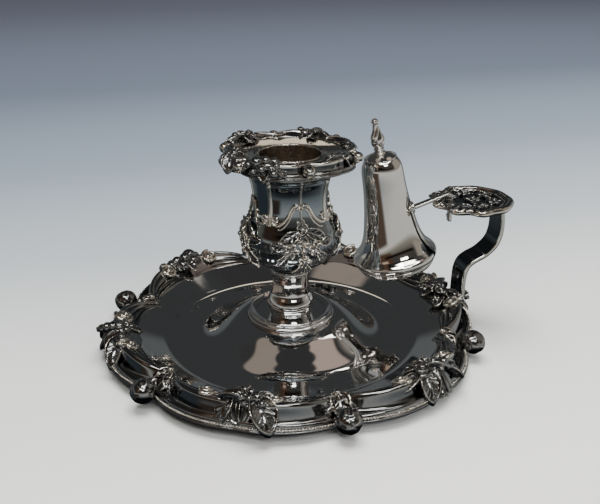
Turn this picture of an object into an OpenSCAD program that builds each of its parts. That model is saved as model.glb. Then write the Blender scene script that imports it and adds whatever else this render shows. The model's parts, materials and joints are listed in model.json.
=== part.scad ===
/* [Tray] */
// Radius of the raised centre that carries the stem foot
boss_r = 17.6; // [17.2:0.1:22]
// Height of the raised centre above the table
boss_h = 10; // [8:0.1:13]
// Radius at which the sloping centre reaches the flat ring
slope_r = 38; // [32:0.5:42]
// Radius at which the flat ring starts to rise
flat_r = 46; // [43:0.5:49]
// Width over which the flat ring bends into the rising rim
bend_w = 4; // [2:0.5:6]
// Thickness of the tray sheet
sheet_t = 1.2; // [0.8:0.1:2]
// Rise of the rim for each unit of length outwards
rim_rise_share = 0.5; // [0.3:0.02:0.6]

/* [Border] */
// Number of lobes round the tray
lobes = 6; // [6:1:7]
// Width of the rising rim, from the flat ring to the ridge at its widest
rim_w = 21.2; // [19:0.2:24]
// Radius of the arc that each scroll follows
scroll_r = 24.5; // [22:0.5:28]
// Angle from the middle of a lobe to the widest place of its scrolls
scroll_turn = 8.2; // [6:0.2:10]
// Radius of the rounded ridge
ridge_r = 1.35; // [0.8:0.05:1.8]
// Width of the sloping face outside the ridge
fascia_w = 5.6; // [4:0.1:7]
// Radius of the arc that the lip follows outside each scroll
lip_arc_r = 40; // [34:0.5:48]
// Height of the border's lower lip above the table
lip_z = 3.4; // [2.4:0.1:4.5]
// Radius of the tube of a scroll curl
curl_tube_r = 0.85; // [0.5:0.05:1.1]
// Radius of a scroll curl
curl_r = 2.5; // [2:0.1:3]
// Radius of a ball bud
bud_r = 4.5; // [3.5:0.1:4.8]
// Distance from the notch of the border's lip to the middle of its bud
bud_reach = 2.8; // [2.4:0.1:4]
// Length of a large border leaf
leaf_len = 13; // [10:0.5:15]
// Width of a large border leaf
leaf_w = 10.5; // [8:0.5:12]
// Thickness of a cast leaf
leaf_t = 1.1; // [0.7:0.1:1.6]
// Radius of a large grape
grape_r = 3.2; // [2.4:0.1:3.6]

/* [Stem] */
// Radius of the stem foot
foot_r = 17; // [15:0.1:17.2]
// Height of the raised edge of the stem foot
foot_h = 3; // [2:0.1:4]
// Height of the dish in the middle of the stem foot
foot_dish_h = 1.7; // [1:0.1:2]
// Largest radius of the knop
knop_r = 9.3; // [8.4:0.1:11]
// Radius of the neck above the knop
neck_r = 7.1; // [6:0.1:7.8]
// Height of the knop with its neck
knop_h = 16.8; // [14:0.2:20]
// Radius of the collar under the urn
collar_r = 7.9; // [7.2:0.1:9]
// Height of the collar
collar_h = 1.3; // [0.8:0.1:2]

/* [Urn] */
// Largest radius of the urn
urn_r = 18.1; // [17.2:0.1:20]
// Height of the urn
urn_h = 39.4; // [37:0.2:44]
// Thickness of the urn's wall
urn_wall = 1.1; // [0.8:0.1:1.2]
// Width of a corner rib
rib_w = 1.5; // [1:0.1:2.4]
// Height of a corner rib above the urn's face
rib_h = 0.7; // [0.4:0.1:1.1]
// Radius of the raised scroll line
line_r = 0.5; // [0.3:0.05:0.7]
// Radius of a flower of the sprays
flower_r = 2.6; // [1.8:0.1:3]

/* [Nozzle] */
// Radius of the candle bore
bore_r = 11.4; // [10.5:0.05:11.6]
// Depth of the candle bore
bore_depth = 26; // [20:0.5:28]
// Thickness of the candle tube's wall
tube_wall = 0.6; // [0.5:0.05:0.7]
// Thickness of the drip pan
pan_t = 1; // [0.7:0.1:1.3]
// Height of the pan's inner edge above the seat of the nozzle
pan_lift = 4.4; // [3.6:0.1:5.4]
// Rise of the pan for each unit of length outwards
pan_rise_share = 0.19; // [0.1:0.01:0.22]
// Radius of the nozzle's ridge at the widest place of a lobe
pan_lobe_r = 23.2; // [22:0.1:23.4]
// Radius of the arc that each small scroll follows
pan_scroll_r = 8.9; // [8:0.1:10]
// Radius of the nozzle's rounded ridge
pan_ridge_r = 1; // [0.8:0.05:1.05]
// Width of the sloping face outside the nozzle's ridge
pan_fascia_w = 3; // [2.6:0.1:3.2]
// Radius of the arc that the lip follows outside each small scroll
pan_lip_arc_r = 13; // [11:0.5:16]
// Drop of the nozzle border's lip below the pan's inner edge
pan_lip_drop = 1.9; // [1:0.1:2.2]
// Radius of a nozzle bud
pan_bud_r = 2.1; // [1.6:0.1:2.2]

/* [Handle] */
// Width of the strap
strap_w = 10.5; // [8:0.5:12]
// Thickness of the strap
strap_t = 1.7; // [1.2:0.1:2.2]
// Distance from the border's lip in to the middle of the strap's foot
strap_inset = 0.2; // [0:0.1:0.8]
// Height of the foot of the strap above the table
strap_z = 9.4; // [8.8:0.1:10.5]
// Reach of the strap outwards from its foot
strap_reach = 15.4; // [13:0.2:18]
// Rise of the strap from its foot to the thumb plate
strap_rise = 39; // [37:0.1:40]
// Radius of the thumb plate
thumb_r = 14.7; // [14:0.1:15.6]
// Distance from the strap's foot to the middle of the thumb plate
thumb_reach = 3.6; // [2.8:0.1:4.2]
// Thickness of the thumb plate
thumb_t = 1.5; // [1:0.1:2]
// Height of the thumb plate's leafy edge
thumb_edge_h = 2.2; // [1.5:0.1:3]

/* [Extinguisher] */
// Distance from the tray's axis to the middle of the bell's rim
bell_x = 43; // [42.6:0.1:44]
// Height of the bell's rim above the table
bell_z = 31; // [29:0.2:33]
// Angle by which the bell leans towards the stem
bell_lean = 11; // [10:0.2:12]
// Largest radius of the bell
bell_r = 16.6; // [15:0.1:17.5]
// Height of the bell from its widest place to its top
bell_h = 42.3; // [40:0.1:43]
// Thickness of the bell's wall
bell_wall = 0.9; // [0.6:0.1:1.2]
// Height of the flame finial
flame_h = 11.6; // [9:0.2:12.4]
// Radius of the flame finial
flame_r = 2.7; // [2:0.1:3]
// Width of the hook arm
arm_w = 2.6; // [2:0.1:3.2]
// Thickness of the hook arm
arm_t = 1.5; // [1.1:0.1:1.8]
// Length of the tongue that hangs through the thumb plate
tongue_l = 11.5; // [10:0.1:13]

/* [Clearances] */
// Gap of a soldered or screwed seat
seat_gap = 0.04; // [0.02:0.01:0.1]
// Radial clearance of the candle tube in its liner
tube_gap = 0.06; // [0.03:0.01:0.1]
// Clearance round the tongue in its slot
slot_gap = 0.35; // [0.25:0.05:0.6]
// Gap between the nozzle and the urn that it rests on
rest_gap = 0.15; // [0.1:0.05:0.3]

/* [Hidden] */
$fn = 48;
silver = "silver";
cast = "lightsteelblue";
dark = "dimgray";

// Shared helpers
half_lobe = 180 / lobes;
lobe_r = flat_r + rim_w;
overrun = 1;

// Top of the tray sheet at a radius
function tray_top(r) =
  r <= boss_r ? boss_h
  : r < slope_r
    ? sheet_t + (boss_h - sheet_t) * (1 + cos(180 * (r - boss_r) / (slope_r - boss_r))) / 2
  : r <= flat_r ? sheet_t
  : r < flat_r + bend_w ? sheet_t + rim_rise_share * pow(r - flat_r, 2) / (2 * bend_w)
  : sheet_t + rim_rise_share * (r - flat_r - bend_w / 2);

// Top of the nozzle's drip pan at a radius
function pan_top(r) = pan_z + pan_rise_share * (r - tube_r);

// Angle from the middle of the nearest lobe
function fold(a) = abs(((a + half_lobe + 720) % (2 * half_lobe)) - half_lobe);

// Radius of a scrolled outline, from its widest radius and the radius of its scrolls
function outline(a, widest, arc) =
  let (d = fold(a) - scroll_turn, c = widest - arc)
  c * cos(d) + sqrt(max(0, pow(arc, 2) - pow(c * sin(d), 2)));

// How much wider a radial cut through a scroll is than a square one
function skew(a, widest, arc) =
  let (
    d = fold(a) - scroll_turn,
    c = widest - arc,
    r = outline(a, widest, arc)
  )
  arc / max((r - c * cos(d)), arc / 2);

// A rim is its widest radius, scroll radius, ridge radius, face width, lip height, sheet thickness,
// the top of its sheet, the steps in half a lobe, and the radius of its lip's arcs
tray_rim = [lobe_r, scroll_r, ridge_r, fascia_w, lip_z, sheet_t, function(r) tray_top(r), 9, lip_arc_r];
bead_turns = [180, 135, 90, 45, 10];
face_shares = [[0.34, 0.36], [0.5, 0.6], [0.64, 0.68], [0.76, 0.64], [0.88, 0.7], [0.97, 0.86], [1, 1]];
under_shares = [[0.84, 1], [0.56, 0.9], [0.3, 0.6]];

function rim_r(m, a) = outline(a, m[0], m[1]);
function rim_turn(m) = half_lobe / m[7];
function rim_angles(m) = [for (i = [0:2 * lobes * m[7] - 1]) i * rim_turn(m)];
function rim_z(m, a) = m[6](rim_r(m, a));
function rim_out(m, a, u) = rim_r(m, a) + u * skew(a, m[0], m[1]);
function rim_lip(m, a) = outline(a, m[0] + m[3], m[8]);
function rim_way(m, a, share) = rim_r(m, a) + share * (rim_lip(m, a) - rim_r(m, a));
function polar(r, a, z) = [r * cos(a), r * sin(a), z];

// The upper face of a rim at one angle, from the foot of its ridge to its lip
function rim_face(m, a, lift) =
  let (top = rim_z(m, a), drop = top - m[4], foot = rim_out(m, a, -m[2]))
  concat(
    [polar(foot, a, m[6](foot) + seat_gap + lift)],
    [for (t = bead_turns) if (t < 180)
      polar(rim_out(m, a, m[2] * cos(t)), a, top + m[2] * sin(t) + lift)],
    [for (s = face_shares) polar(rim_way(m, a, s[0]), a, top - drop * s[1] + lift)]
  );

// The lower face of a rim at one angle, from its lip to the edge of its sheet
function rim_under(m, a) =
  let (top = rim_z(m, a), drop = top - m[4])
  concat(
    [for (s = under_shares) polar(rim_way(m, a, s[0]), a, top - drop * s[1])],
    [for (z = [top - m[5], top + seat_gap]) polar(rim_r(m, a) + seat_gap, a, z)]
  );

// A solid through rows of points, closed on itself, or with ends that are flat or a strip between
// the two halves of a row
module loft(rows, ends) {
  n = len(rows);
  m = len(rows[0]);
  z = (n - 1) * m;
  last = ends == "none" ? n : n - 1;
  polyhedron(
    points = [for (row = rows) each row],
    faces = concat(
      [for (i = [0:last - 1]) for (j = [0:m - 1])
        let (a = i * m, b = ((i + 1) % n) * m, k = (j + 1) % m)
        each [[a + j, b + j, b + k], [a + j, b + k, a + k]]],
      ends == "flat" ? [[for (j = [m - 1:-1:0]) j], [for (j = [0:m - 1]) z + j]] : [],
      ends == "strip" ? [for (j = [0:m / 2 - 2])
        let (k = m - 1 - j)
        each [[j + 1, j, k], [j + 1, k, k - 1], [z + j, z + j + 1, z + k], [z + j + 1, z + k - 1, z + k]]] : []
    )
  );
}

// A whole rim as one closed ring
module rim_ring(m) {
  loft([for (a = rim_angles(m)) concat(rim_face(m, a, 0), rim_under(m, a))], "none");
}

// Everything below the face of a rim and of its sheet, over a few steps to each side of an angle
module rim_seat(m, a, steps, inner, bottom) {
  loft([for (i = [-steps:steps])
    let (b = a + i * rim_turn(m), f = rim_face(m, b, seat_gap), e = f[len(f) - 1])
    concat(
      [polar(inner, b, m[6](inner) + seat_gap)],
      f,
      [[e[0], e[1], bottom], polar(inner, b, bottom)]
    )], "flat");
}

// Plan of a rim's sheet
module rim_plan(m) {
  polygon([for (a = rim_angles(m)) let (r = rim_r(m, a)) [r * cos(a), r * sin(a)]]);
}

// A leaf along +X that droops at its tip, with a raised middle and turned-up edges
leaf_rows = 5;
leaf_cols = 4;
leaf_rib_share = 0.5;
leaf_cup_share = 0.15;
function leaf_half(t, w) = w / 2 * (0.12 + 0.88 * pow(sin(180 * pow(min(t, 0.985), 0.75)), 0.8));
function leaf_lift(s, cup) = abs(s) < 0.1 ? cup * leaf_rib_share : cup * pow(s, 2);
module leaf(length, width, drop) {
  cup = width * leaf_cup_share;
  function row(t, down) = [for (j = [0:leaf_cols])
    let (s = 2 * j / leaf_cols - 1, rise = leaf_lift(s, cup) * sin(180 * min(t + 0.15, 0.9)))
    [length * t, leaf_half(t, width) * s, rise - drop * pow(t, 2) - down]];
  function back(v) = [for (j = [len(v) - 1:-1:0]) v[j]];
  loft([for (i = [0:leaf_rows])
    let (t = i / leaf_rows) concat(row(t, leaf_t), back(row(t, 0)))], "strip");
}

// A fan shell that spreads from the origin towards +X, with ribs that end in points and droop
shell_rows = 5;
shell_ribs = 7;
shell_half_turn = 84;
shell_cols = 2 * shell_ribs;
module shell(r, rib, crown, drop) {
  function at(t, j) =
    let (a = shell_half_turn * (2 * j / shell_cols - 1), w = cos(180 * j))
    polar(r * t * (0.9 - 0.1 * w), a, crown * sin(180 * pow(t, 0.7)) - rib * w * t - drop * pow(t, 2));
  function row(t, down) = [for (j = [0:shell_cols]) at(t, j) - [0, 0, down]];
  function back(v) = [for (j = [len(v) - 1:-1:0]) v[j]];
  loft([for (i = [0:shell_rows])
    let (t = 0.14 + 0.86 * i / shell_rows) concat(row(t, leaf_t), back(row(t, 0)))], "strip");
}

// A flower of round petals that stands up along +Z
petals = 5;
module flower(r, h) {
  for (i = [0:petals - 1])
    rotate([0, 0, i * 360 / petals])
      translate([r * 0.58, 0, 0])
        cylinder(h = h, r1 = r * 0.46, r2 = r * 0.34);
  cylinder(h = h * 1.3, r = r * 0.34);
}

// Part of a curled wire, lying flat
module curl(r, tube, sweep) {
  rotate_extrude(angle = sweep, $fn = 48)
    translate([r, 0])
      circle(r = tube, $fn = 20);
}

// Tray

stud_r = 2.4;
stud_hole_r = stud_r + tube_gap;
profile_steps = 12;

module tray_section() {
  outer = lobe_r + overrun;
  slope = [for (i = [0:profile_steps]) boss_r + (slope_r - boss_r) * i / profile_steps];
  bend = [for (i = [0:4]) flat_r + bend_w * i / 4];
  radii = concat([stud_hole_r], slope, bend, [outer]);
  last = len(radii) - 1;
  polygon(concat(
    [for (r = radii) [r, tray_top(r)]],
    [for (i = [last:-1:0]) [radii[i], tray_top(radii[i]) - sheet_t]]
  ));
}

module tray() {
  color(silver)
    intersection() {
      rotate_extrude($fn = 96) tray_section();
      linear_extrude(height = boss_h + lobe_r)
        rim_plan(tray_rim);
    }
}

// Border

module border_ring() {
  color(cast) rim_ring(tray_rim);
}

curl_turn = 10.5;
slope_angle = atan(rim_rise_share);

// Places a shape flat on the rising rim, at an angle and a radius
module on_rim(a, r, lift) {
  rotate([0, 0, a])
    translate([r, 0, tray_top(r)])
      rotate([0, -slope_angle, 0])
        translate([0, 0, lift])
          children();
}

module border_curls() {
  color(cast)
    for (i = [0:lobes - 1])
      for (side = [-1, 1])
        on_rim(i * 2 * half_lobe + side * curl_turn,
               rim_r(tray_rim, curl_turn) - ridge_r - curl_r - curl_tube_r - 3 * seat_gap,
               curl_tube_r + 3 * seat_gap)
          rotate([0, 0, side > 0 ? 20 : 70])
            curl(curl_r, curl_tube_r, 270);
}

bud_ring_r = rim_lip(tray_rim, half_lobe) + bud_reach;
bud_z = lip_z + bud_r * 0.7;
bud_steps = 2;

module at_notches() {
  for (i = [0:lobes - 1])
    rotate([0, 0, (2 * i + 1) * half_lobe])
      children();
}

module border_buds() {
  color(cast)
    difference() {
      at_notches()
        translate([bud_ring_r, 0, bud_z])
          sphere(r = bud_r);
      for (i = [0:lobes - 1])
        rim_seat(tray_rim, (2 * i + 1) * half_lobe, bud_steps, seat_in_r, -overrun);
    }
}

// A bract that lies on the border's face in a notch and swells towards its bud
calyx_way_shares = [0.34, 0.44, 0.54, 0.64, 0.74];
calyx_half_shares = [0.25, 0.45, 0.65, 0.8, 0.85];
calyx_height_shares = [0.25, 0.6, 0.95, 1.15, 1.1];
calyx_turn = 3.6;

module calyx(m, a, tall) {
  function on_face(s, b, lift) =
    let (top = rim_z(m, b)) polar(rim_way(m, b, s), b, top - (top - m[4]) * lookup(s, face_shares) + lift);
  loft([for (i = [0:len(calyx_way_shares) - 1])
    let (s = calyx_way_shares[i], w = calyx_turn * calyx_half_shares[i], h = tall * calyx_height_shares[i])
    [
      on_face(s, a - w, 4 * seat_gap), on_face(s, a, 4 * seat_gap), on_face(s, a + w, 4 * seat_gap),
      on_face(s, a + w * 0.9, h * 0.6), on_face(s, a, h), on_face(s, a - w * 0.9, h * 0.6)
    ]], "strip");
}

module bud_calyxes() {
  color(cast)
    for (i = [0:lobes - 1])
      calyx(tray_rim, (2 * i + 1) * half_lobe, bud_r);
}

// Clusters, each in a frame at the ridge with +X outwards

cluster_r = rim_r(tray_rim, 0);
cluster_z = tray_top(cluster_r) + ridge_r;
seat_steps = 5;
seat_in_r = flat_r + bend_w;

module cluster(lobe) {
  $fn = 18;
  turn = lobe * 2 * half_lobe;
  difference() {
    rotate([0, 0, turn])
      translate([cluster_r, 0, cluster_z])
        children();
    rim_seat(tray_rim, turn, seat_steps, seat_in_r, -overrun);
  }
}

module turned_leaf(x, y, z, turn, pitch, length, width, drop) {
  translate([x, y, z])
    rotate([0, pitch, turn])
      leaf(length, width, drop);
}

module leaf_cluster() {
  color(cast)
    cluster(4) {
      turned_leaf(-leaf_t, -leaf_w * 0.16, leaf_t, -14, 14, leaf_len * 0.78, leaf_w * 0.85, leaf_len * 0.42);
      turned_leaf(-leaf_t, leaf_w * 0.3, leaf_t, 24, 14, leaf_len * 0.8, leaf_w * 0.9, leaf_len * 0.44);
      turned_leaf(-leaf_t * 0.5, leaf_w * 0.6, leaf_t * 0.6, 72, 12, leaf_len * 0.8, leaf_w * 0.75,
                  leaf_len * 0.42);
      turned_leaf(0, -leaf_w * 0.3, leaf_t * 0.9, -80, 4, leaf_len * 0.7, leaf_w * 0.45, leaf_len * 0.2);
      translate([-leaf_w * 0.12, leaf_w * 0.3, leaf_t]) flower(leaf_w * 0.34, leaf_w * 0.25);
    }
}

module shell_cluster() {
  color(cast)
    cluster(5) {
      translate([-leaf_t, 0, leaf_t])
        shell(leaf_len * 0.85, leaf_t * 0.6, leaf_t * 1.6, leaf_len * 0.42);
      translate([-leaf_w * 0.2, 0, leaf_t * 0.5]) sphere(r = leaf_w * 0.25);
    }
}

roll_r = leaf_w * 0.25;

module roll_cluster() {
  color(cast)
    cluster(3) {
      turned_leaf(leaf_t * 0.5, -leaf_w * 0.2, 0, -24, 8, leaf_len * 0.95, leaf_w * 0.6, leaf_len * 0.4);
      turned_leaf(leaf_t * 0.5, leaf_w * 0.05, 0, 6, 10, leaf_len * 0.95, leaf_w * 0.6, leaf_len * 0.4);
      turned_leaf(0, leaf_w * 0.3, 0, 46, 8, leaf_len, leaf_w * 0.6, leaf_len * 0.42);
      for (k = [-1:1])
        translate([-leaf_t * 1.6, k * roll_r * 1.1, 0])
          rotate([0, 90, k * 12])
            cylinder(h = roll_r * 2.4, r1 = roll_r, r2 = roll_r * 0.6, center = true);
    }
}

grape_places_share = [[0, 0, 0.55, 1], [-0.5, 1.7, 0.4, 1], [1.2, 1, 0, 0.85], [-0.3, -1.75, 0.3, 0.9],
                      [1.5, -0.8, -0.2, 0.8], [-1.5, -0.3, 0.2, 0.75]];

module grapes(r) {
  for (p = grape_places_share)
    translate([p[0] * r, p[1] * r, p[2] * r])
      sphere(r = r * p[3]);
}

module grape_cluster() {
  color(cast)
    cluster(2) grapes(grape_r);
}

module back_cluster() {
  color(cast)
    cluster(1) {
      grapes(grape_r * 0.85);
      for (s = [-1, 1])
        turned_leaf(leaf_t, s * leaf_w * 0.4, 0, s * 50, 8, leaf_len * 0.7, leaf_w * 0.55, leaf_len * 0.3);
    }
}

blossom_turn = 17;

module handle_cluster() {
  color(cast)
    cluster(0) {
      for (s = [-1, 1])
        turned_leaf(-leaf_t, s * leaf_w * 0.15, leaf_t * 0.5, s * 76, 4, leaf_len * 0.75, leaf_w * 0.6,
                    leaf_len * 0.2);
      translate([-leaf_w * 0.38, 0, leaf_t * 0.5])
        rotate(blossom_turn)
          flower(leaf_w * 0.4, leaf_w * 0.3);
    }
}

// Stem, from the foot on the raised centre to the collar

module stem_foot() {
  color(silver)
    translate([0, 0, boss_h + seat_gap])
      rotate_extrude($fn = 96)
        polygon([
          [stud_hole_r, 0], [foot_r, 0], [foot_r, foot_h * 0.3], [foot_r * 0.985, foot_h * 0.42],
          [foot_r * 0.965, foot_h * 0.5], [foot_r * 0.965, foot_h * 0.86], [foot_r * 0.955, foot_h * 0.97],
          [foot_r * 0.94, foot_h], [foot_r * 0.92, foot_h * 0.95], [foot_r * 0.9, foot_h * 0.8],
          [foot_r * 0.78, foot_dish_h * 0.86], [foot_r * 0.6, foot_dish_h * 0.8], [knop_r * 0.84, foot_dish_h],
          [stud_hole_r, foot_dish_h]
        ]);
}

knop_z = boss_h + foot_dish_h + 2 * seat_gap;
knop_shares = [[0.79, 0], [0.88, 0.04], [0.97, 0.11], [1, 0.2], [0.98, 0.29], [0.91, 0.38], [0.83, 0.45]];
neck_shares = [[1.04, 0.5], [1, 0.62], [1, 0.76], [1.02, 0.88], [1.06, 1]];

module stem_knop() {
  color(silver)
    translate([0, 0, knop_z])
      rotate_extrude()
        polygon(concat(
          [[stud_hole_r, 0]],
          [for (s = knop_shares) [knop_r * s[0], knop_h * s[1]]],
          [for (s = neck_shares) [neck_r * s[0], knop_h * s[1]]],
          [[stud_hole_r, knop_h]]
        ));
}

collar_z = knop_z + knop_h + seat_gap;

module stem_collar() {
  color(silver)
    translate([0, 0, collar_z])
      rotate_extrude()
        polygon([
          [stud_hole_r, 0], [collar_r * 0.93, 0], [collar_r, collar_h * 0.3], [collar_r, collar_h * 0.7],
          [collar_r * 0.93, collar_h], [stud_hole_r, collar_h]
        ]);
}

// Urn

urn_z = collar_z + collar_h + seat_gap;
urn_shares = [[0.4, 0], [0.45, 0.035], [0.6, 0.07], [0.77, 0.115], [0.87, 0.16], [0.95, 0.225], [0.99, 0.3],
              [1, 0.365], [0.985, 0.43], [0.93, 0.5], [0.87, 0.57], [0.815, 0.65], [0.795, 0.73], [0.8, 0.81],
              [0.825, 0.88], [0.85, 0.93], [0.88, 1]];
urn_points = [for (s = urn_shares) [urn_r * s[0], urn_h * s[1]]];
urn_table = [for (p = urn_points) [p[1], p[0]]];
function urn_face(h) = lookup(h, urn_table);

tube_r = bore_r + tube_wall;
liner_in_r = tube_r + tube_gap;
liner_wall = 0.55;
liner_r = liner_in_r + liner_wall;
flange_t = 0.8;
flange_r = urn_r * 0.84;
urn_floor_t = 2;
urn_top_z = urn_z + urn_h;

module urn() {
  last = len(urn_points) - 1;
  color(silver)
    translate([0, 0, urn_z])
      difference() {
        rotate_extrude($fn = 96)
          polygon(concat([[0, 0]], urn_points, [[0, urn_h]]));
        rotate_extrude($fn = 96)
          polygon(concat(
            [[0, urn_floor_t], [stud_hole_r * 2.4, urn_floor_t]],
            [for (i = [3:last - 1]) [max(urn_points[i][0] - urn_wall, liner_r + seat_gap), urn_points[i][1]]],
            [[liner_r + seat_gap, urn_h * 0.95], [liner_r + seat_gap, urn_h + overrun], [0, urn_h + overrun]]
          ));
        translate([0, 0, -overrun]) cylinder(h = urn_floor_t + 2 * overrun, r = stud_hole_r);
      }
}

corners = 4;
rib_from_share = 0.57;
rib_to_share = 0.97;

module urn_ribs() {
  turn = 2 * asin(rib_w / 2 / (urn_r * 0.8));
  band = [for (p = urn_points) if (p[1] >= urn_h * rib_from_share && p[1] <= urn_h * rib_to_share) p];
  last = len(band) - 1;
  color(cast)
    translate([0, 0, urn_z])
      for (i = [0:corners - 1])
        rotate([0, 0, (i + 0.5) * 360 / corners - turn / 2])
          rotate_extrude(angle = turn, $fn = 96)
            polygon(concat(
              [for (p = band) [p[0] + seat_gap, p[1]]],
              [for (j = [last:-1:0]) [band[j][0] + rib_h, band[j][1]]]
            ));
}

line_steps = 16;
line_sides = 5;
line_low_share = 0.58;
line_high_share = 0.76;
line_half_turn = 38;

module scroll_line() {
  loft([for (i = [0:line_steps])
    let (
      t = i / line_steps * 2 - 1,
      a = line_half_turn * t,
      h = urn_h * (line_high_share - (line_high_share - line_low_share) * (1 - cos(180 * t)) / 2),
      r = urn_face(h) + line_r + 3 * seat_gap
    )
    [for (j = [0:line_sides - 1])
      let (b = j * 360 / line_sides)
      polar(r + line_r * cos(b), a, h + line_r * sin(b))]], "flat");
}

module urn_scroll_line() {
  color(cast)
    translate([0, 0, urn_z])
      for (i = [0:corners - 1])
        rotate([0, 0, i * 360 / corners])
          scroll_line();
}

spray_turns = [-13, 13, 4, 0];
spray_height_shares = [0.42, 0.44, 0.32, 0.58];

module urn_sprays() {
  color(cast)
    difference() {
      for (i = [0:corners - 1])
        for (k = [0:len(spray_turns) - 1])
          let (h = urn_h * spray_height_shares[k])
          rotate([0, 0, i * 360 / corners + spray_turns[k]])
            translate([urn_face(h) - rib_h, 0, urn_z + h])
              rotate([0, 90, 0])
                flower(flower_r, rib_h * 2.6);
      translate([0, 0, urn_z])
        rotate_extrude($fn = 96)
          polygon(concat([[0, 0]], [for (p = urn_points) [p[0] + seat_gap, p[1]]], [[0, urn_h]]));
    }
}

module socket_liner() {
  depth = bore_depth + pan_lift;
  color(silver)
    translate([0, 0, urn_top_z + seat_gap])
      rotate_extrude()
        polygon([
          [liner_in_r, -depth], [liner_r, -depth], [liner_r, 0], [flange_r, 0], [flange_r, flange_t],
          [liner_in_r, flange_t]
        ]);
}

// Fixings that hold the stem to the tray

washer_r = 6;
washer_t = 1;
nut_flats_r = 4.6;
nut_t = 3;
screw_head_r = 4.4;
screw_head_t = 1.8;
washer_z = boss_h - sheet_t - seat_gap - washer_t;
nut_z = washer_z - seat_gap - nut_t;

module stem_washer() {
  color(dark)
    translate([0, 0, washer_z])
      difference() {
        cylinder(h = washer_t, r = washer_r);
        translate([0, 0, -overrun]) cylinder(h = washer_t + 2 * overrun, r = stud_hole_r);
      }
}

module stem_nut() {
  color(dark)
    translate([0, 0, nut_z])
      difference() {
        cylinder(h = nut_t, r = nut_flats_r, $fn = 6);
        translate([0, 0, -overrun]) cylinder(h = nut_t + 2 * overrun, r = stud_hole_r);
      }
}

module stem_screw() {
  bottom = nut_z - stud_r / 2;
  head = urn_z + urn_floor_t + seat_gap;
  color(dark) {
    translate([0, 0, bottom]) cylinder(h = head - bottom, r = stud_r);
    translate([0, 0, head]) cylinder(h = screw_head_t, r = screw_head_r);
  }
}

// Handle

strap_x_shares = [0, 0.01, 0.03, 0.12, 0.3, 0.6, 0.87, 0.98, 1, 0.97, 0.9];
strap_z_shares = [0, 0.13, 0.25, 0.345, 0.4, 0.455, 0.55, 0.66, 0.79, 0.91, 1];
strap_steps = 3;
strap_x = rim_lip(tray_rim, 0) - strap_inset;
function ease(a, b, c, d, t) =
  0.5 * (2 * b + (c - a) * t + (2 * a - 5 * b + 4 * c - d) * pow(t, 2) + (3 * b - a - 3 * c + d) * pow(t, 3));
function pick(v, i) = v[max(0, min(len(v) - 1, i))];
function smooth(v) = concat(
  [for (i = [0:len(v) - 2]) for (k = [0:strap_steps - 1])
    ease(pick(v, i - 1), v[i], v[i + 1], pick(v, i + 2), k / strap_steps)],
  [v[len(v) - 1]]
);
strap_xs = [for (s = smooth(strap_x_shares)) strap_x + strap_reach * s];
strap_zs = [for (s = smooth(strap_z_shares)) strap_z + strap_rise * s];
function strap_side(i, side) =
  let (
    n = len(strap_xs) - 1,
    a = [strap_xs[max(0, i - 1)], strap_zs[max(0, i - 1)]],
    b = [strap_xs[min(n, i + 1)], strap_zs[min(n, i + 1)]],
    d = (b - a) / norm(b - a)
  )
  [strap_xs[i] - side * d[1] * strap_t / 2, strap_zs[i] + side * d[0] * strap_t / 2];

module handle_strap() {
  n = len(strap_xs) - 1;
  color(silver)
    intersection() {
      translate([0, strap_w / 2, 0])
        rotate([90, 0, 0])
          linear_extrude(height = strap_w)
            polygon(concat(
              [for (i = [0:n]) strap_side(i, 1)],
              [for (i = [n:-1:0]) strap_side(i, -1)]
            ));
      translate([strap_x - strap_reach, -strap_w, strap_z])
        cube([strap_reach * 3, strap_w * 2, strap_rise]);
    }
}

foot_leaf_l = 4;

module handle_foot() {
  top = strap_z - seat_gap;
  color(cast)
    difference() {
      translate([strap_x - strap_t / 2, strap_w / 2, 0])
        rotate([90, 0, 0])
          linear_extrude(height = strap_w)
            polygon([
              [0, lip_z], [0, top], [strap_t, top], [strap_t * 1.4, top - foot_leaf_l * 0.3],
              [strap_t + foot_leaf_l * 0.5, top - foot_leaf_l * 0.45],
              [strap_t + foot_leaf_l * 0.72, top - foot_leaf_l * 0.2],
              [strap_t + foot_leaf_l * 0.84, top - foot_leaf_l * 0.5],
              [strap_t + foot_leaf_l * 0.6, top - foot_leaf_l * 0.8],
              [strap_t * 1.2, top - foot_leaf_l * 0.95], [strap_t * 0.9, lip_z]
            ]);
      rim_seat(tray_rim, 0, seat_steps, seat_in_r, -overrun);
    }
}

// Thumb plate, with the slot that takes the tongue of the extinguisher

thumb_x = strap_x + thumb_reach;
thumb_z = strap_z + strap_rise + seat_gap;
thumb_lobes = 9;
thumb_wave = 1.1;
tongue_x = thumb_x - thumb_r * 0.66;
slot_x = arm_t + 2 * slot_gap;
slot_y = arm_w + 2 * slot_gap;
function thumb_outline(a) = thumb_r + thumb_wave * cos(thumb_lobes * a);
thumb_turn = 7.5;

module thumb_plan(grow) {
  polygon([for (a = [0:thumb_turn:360 - thumb_turn])
    let (r = thumb_outline(a + 180) + grow) [r * cos(a), r * sin(a)]]);
}

module thumb_plate() {
  color(silver)
    difference() {
      translate([thumb_x, 0, thumb_z])
        linear_extrude(height = thumb_t)
          thumb_plan(0);
      translate([tongue_x - slot_x / 2, -slot_y / 2, thumb_z - overrun])
        cube([slot_x, slot_y, thumb_t + 2 * overrun]);
    }
}

thumb_edge_w = 2.2;

module thumb_border() {
  color(cast)
    translate([thumb_x, 0, thumb_z])
      loft([for (a = [0:thumb_turn:360 - thumb_turn])
        let (r = thumb_outline(a + 180), w = thumb_edge_w, h = thumb_edge_h, t = thumb_t + seat_gap)
        [
          polar(r + seat_gap, a, 0), polar(r + w * 0.35, a, h * 0.1), polar(r + w * 0.6, a, h * 0.6),
          polar(r + w * 0.3, a, h * 1.05), polar(r - w * 0.2, a, h * 1.2), polar(r - w * 0.6, a, h * 1),
          polar(r - w * 0.8, a, t), polar(r + seat_gap, a, t)
        ]], "none");
}

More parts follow.
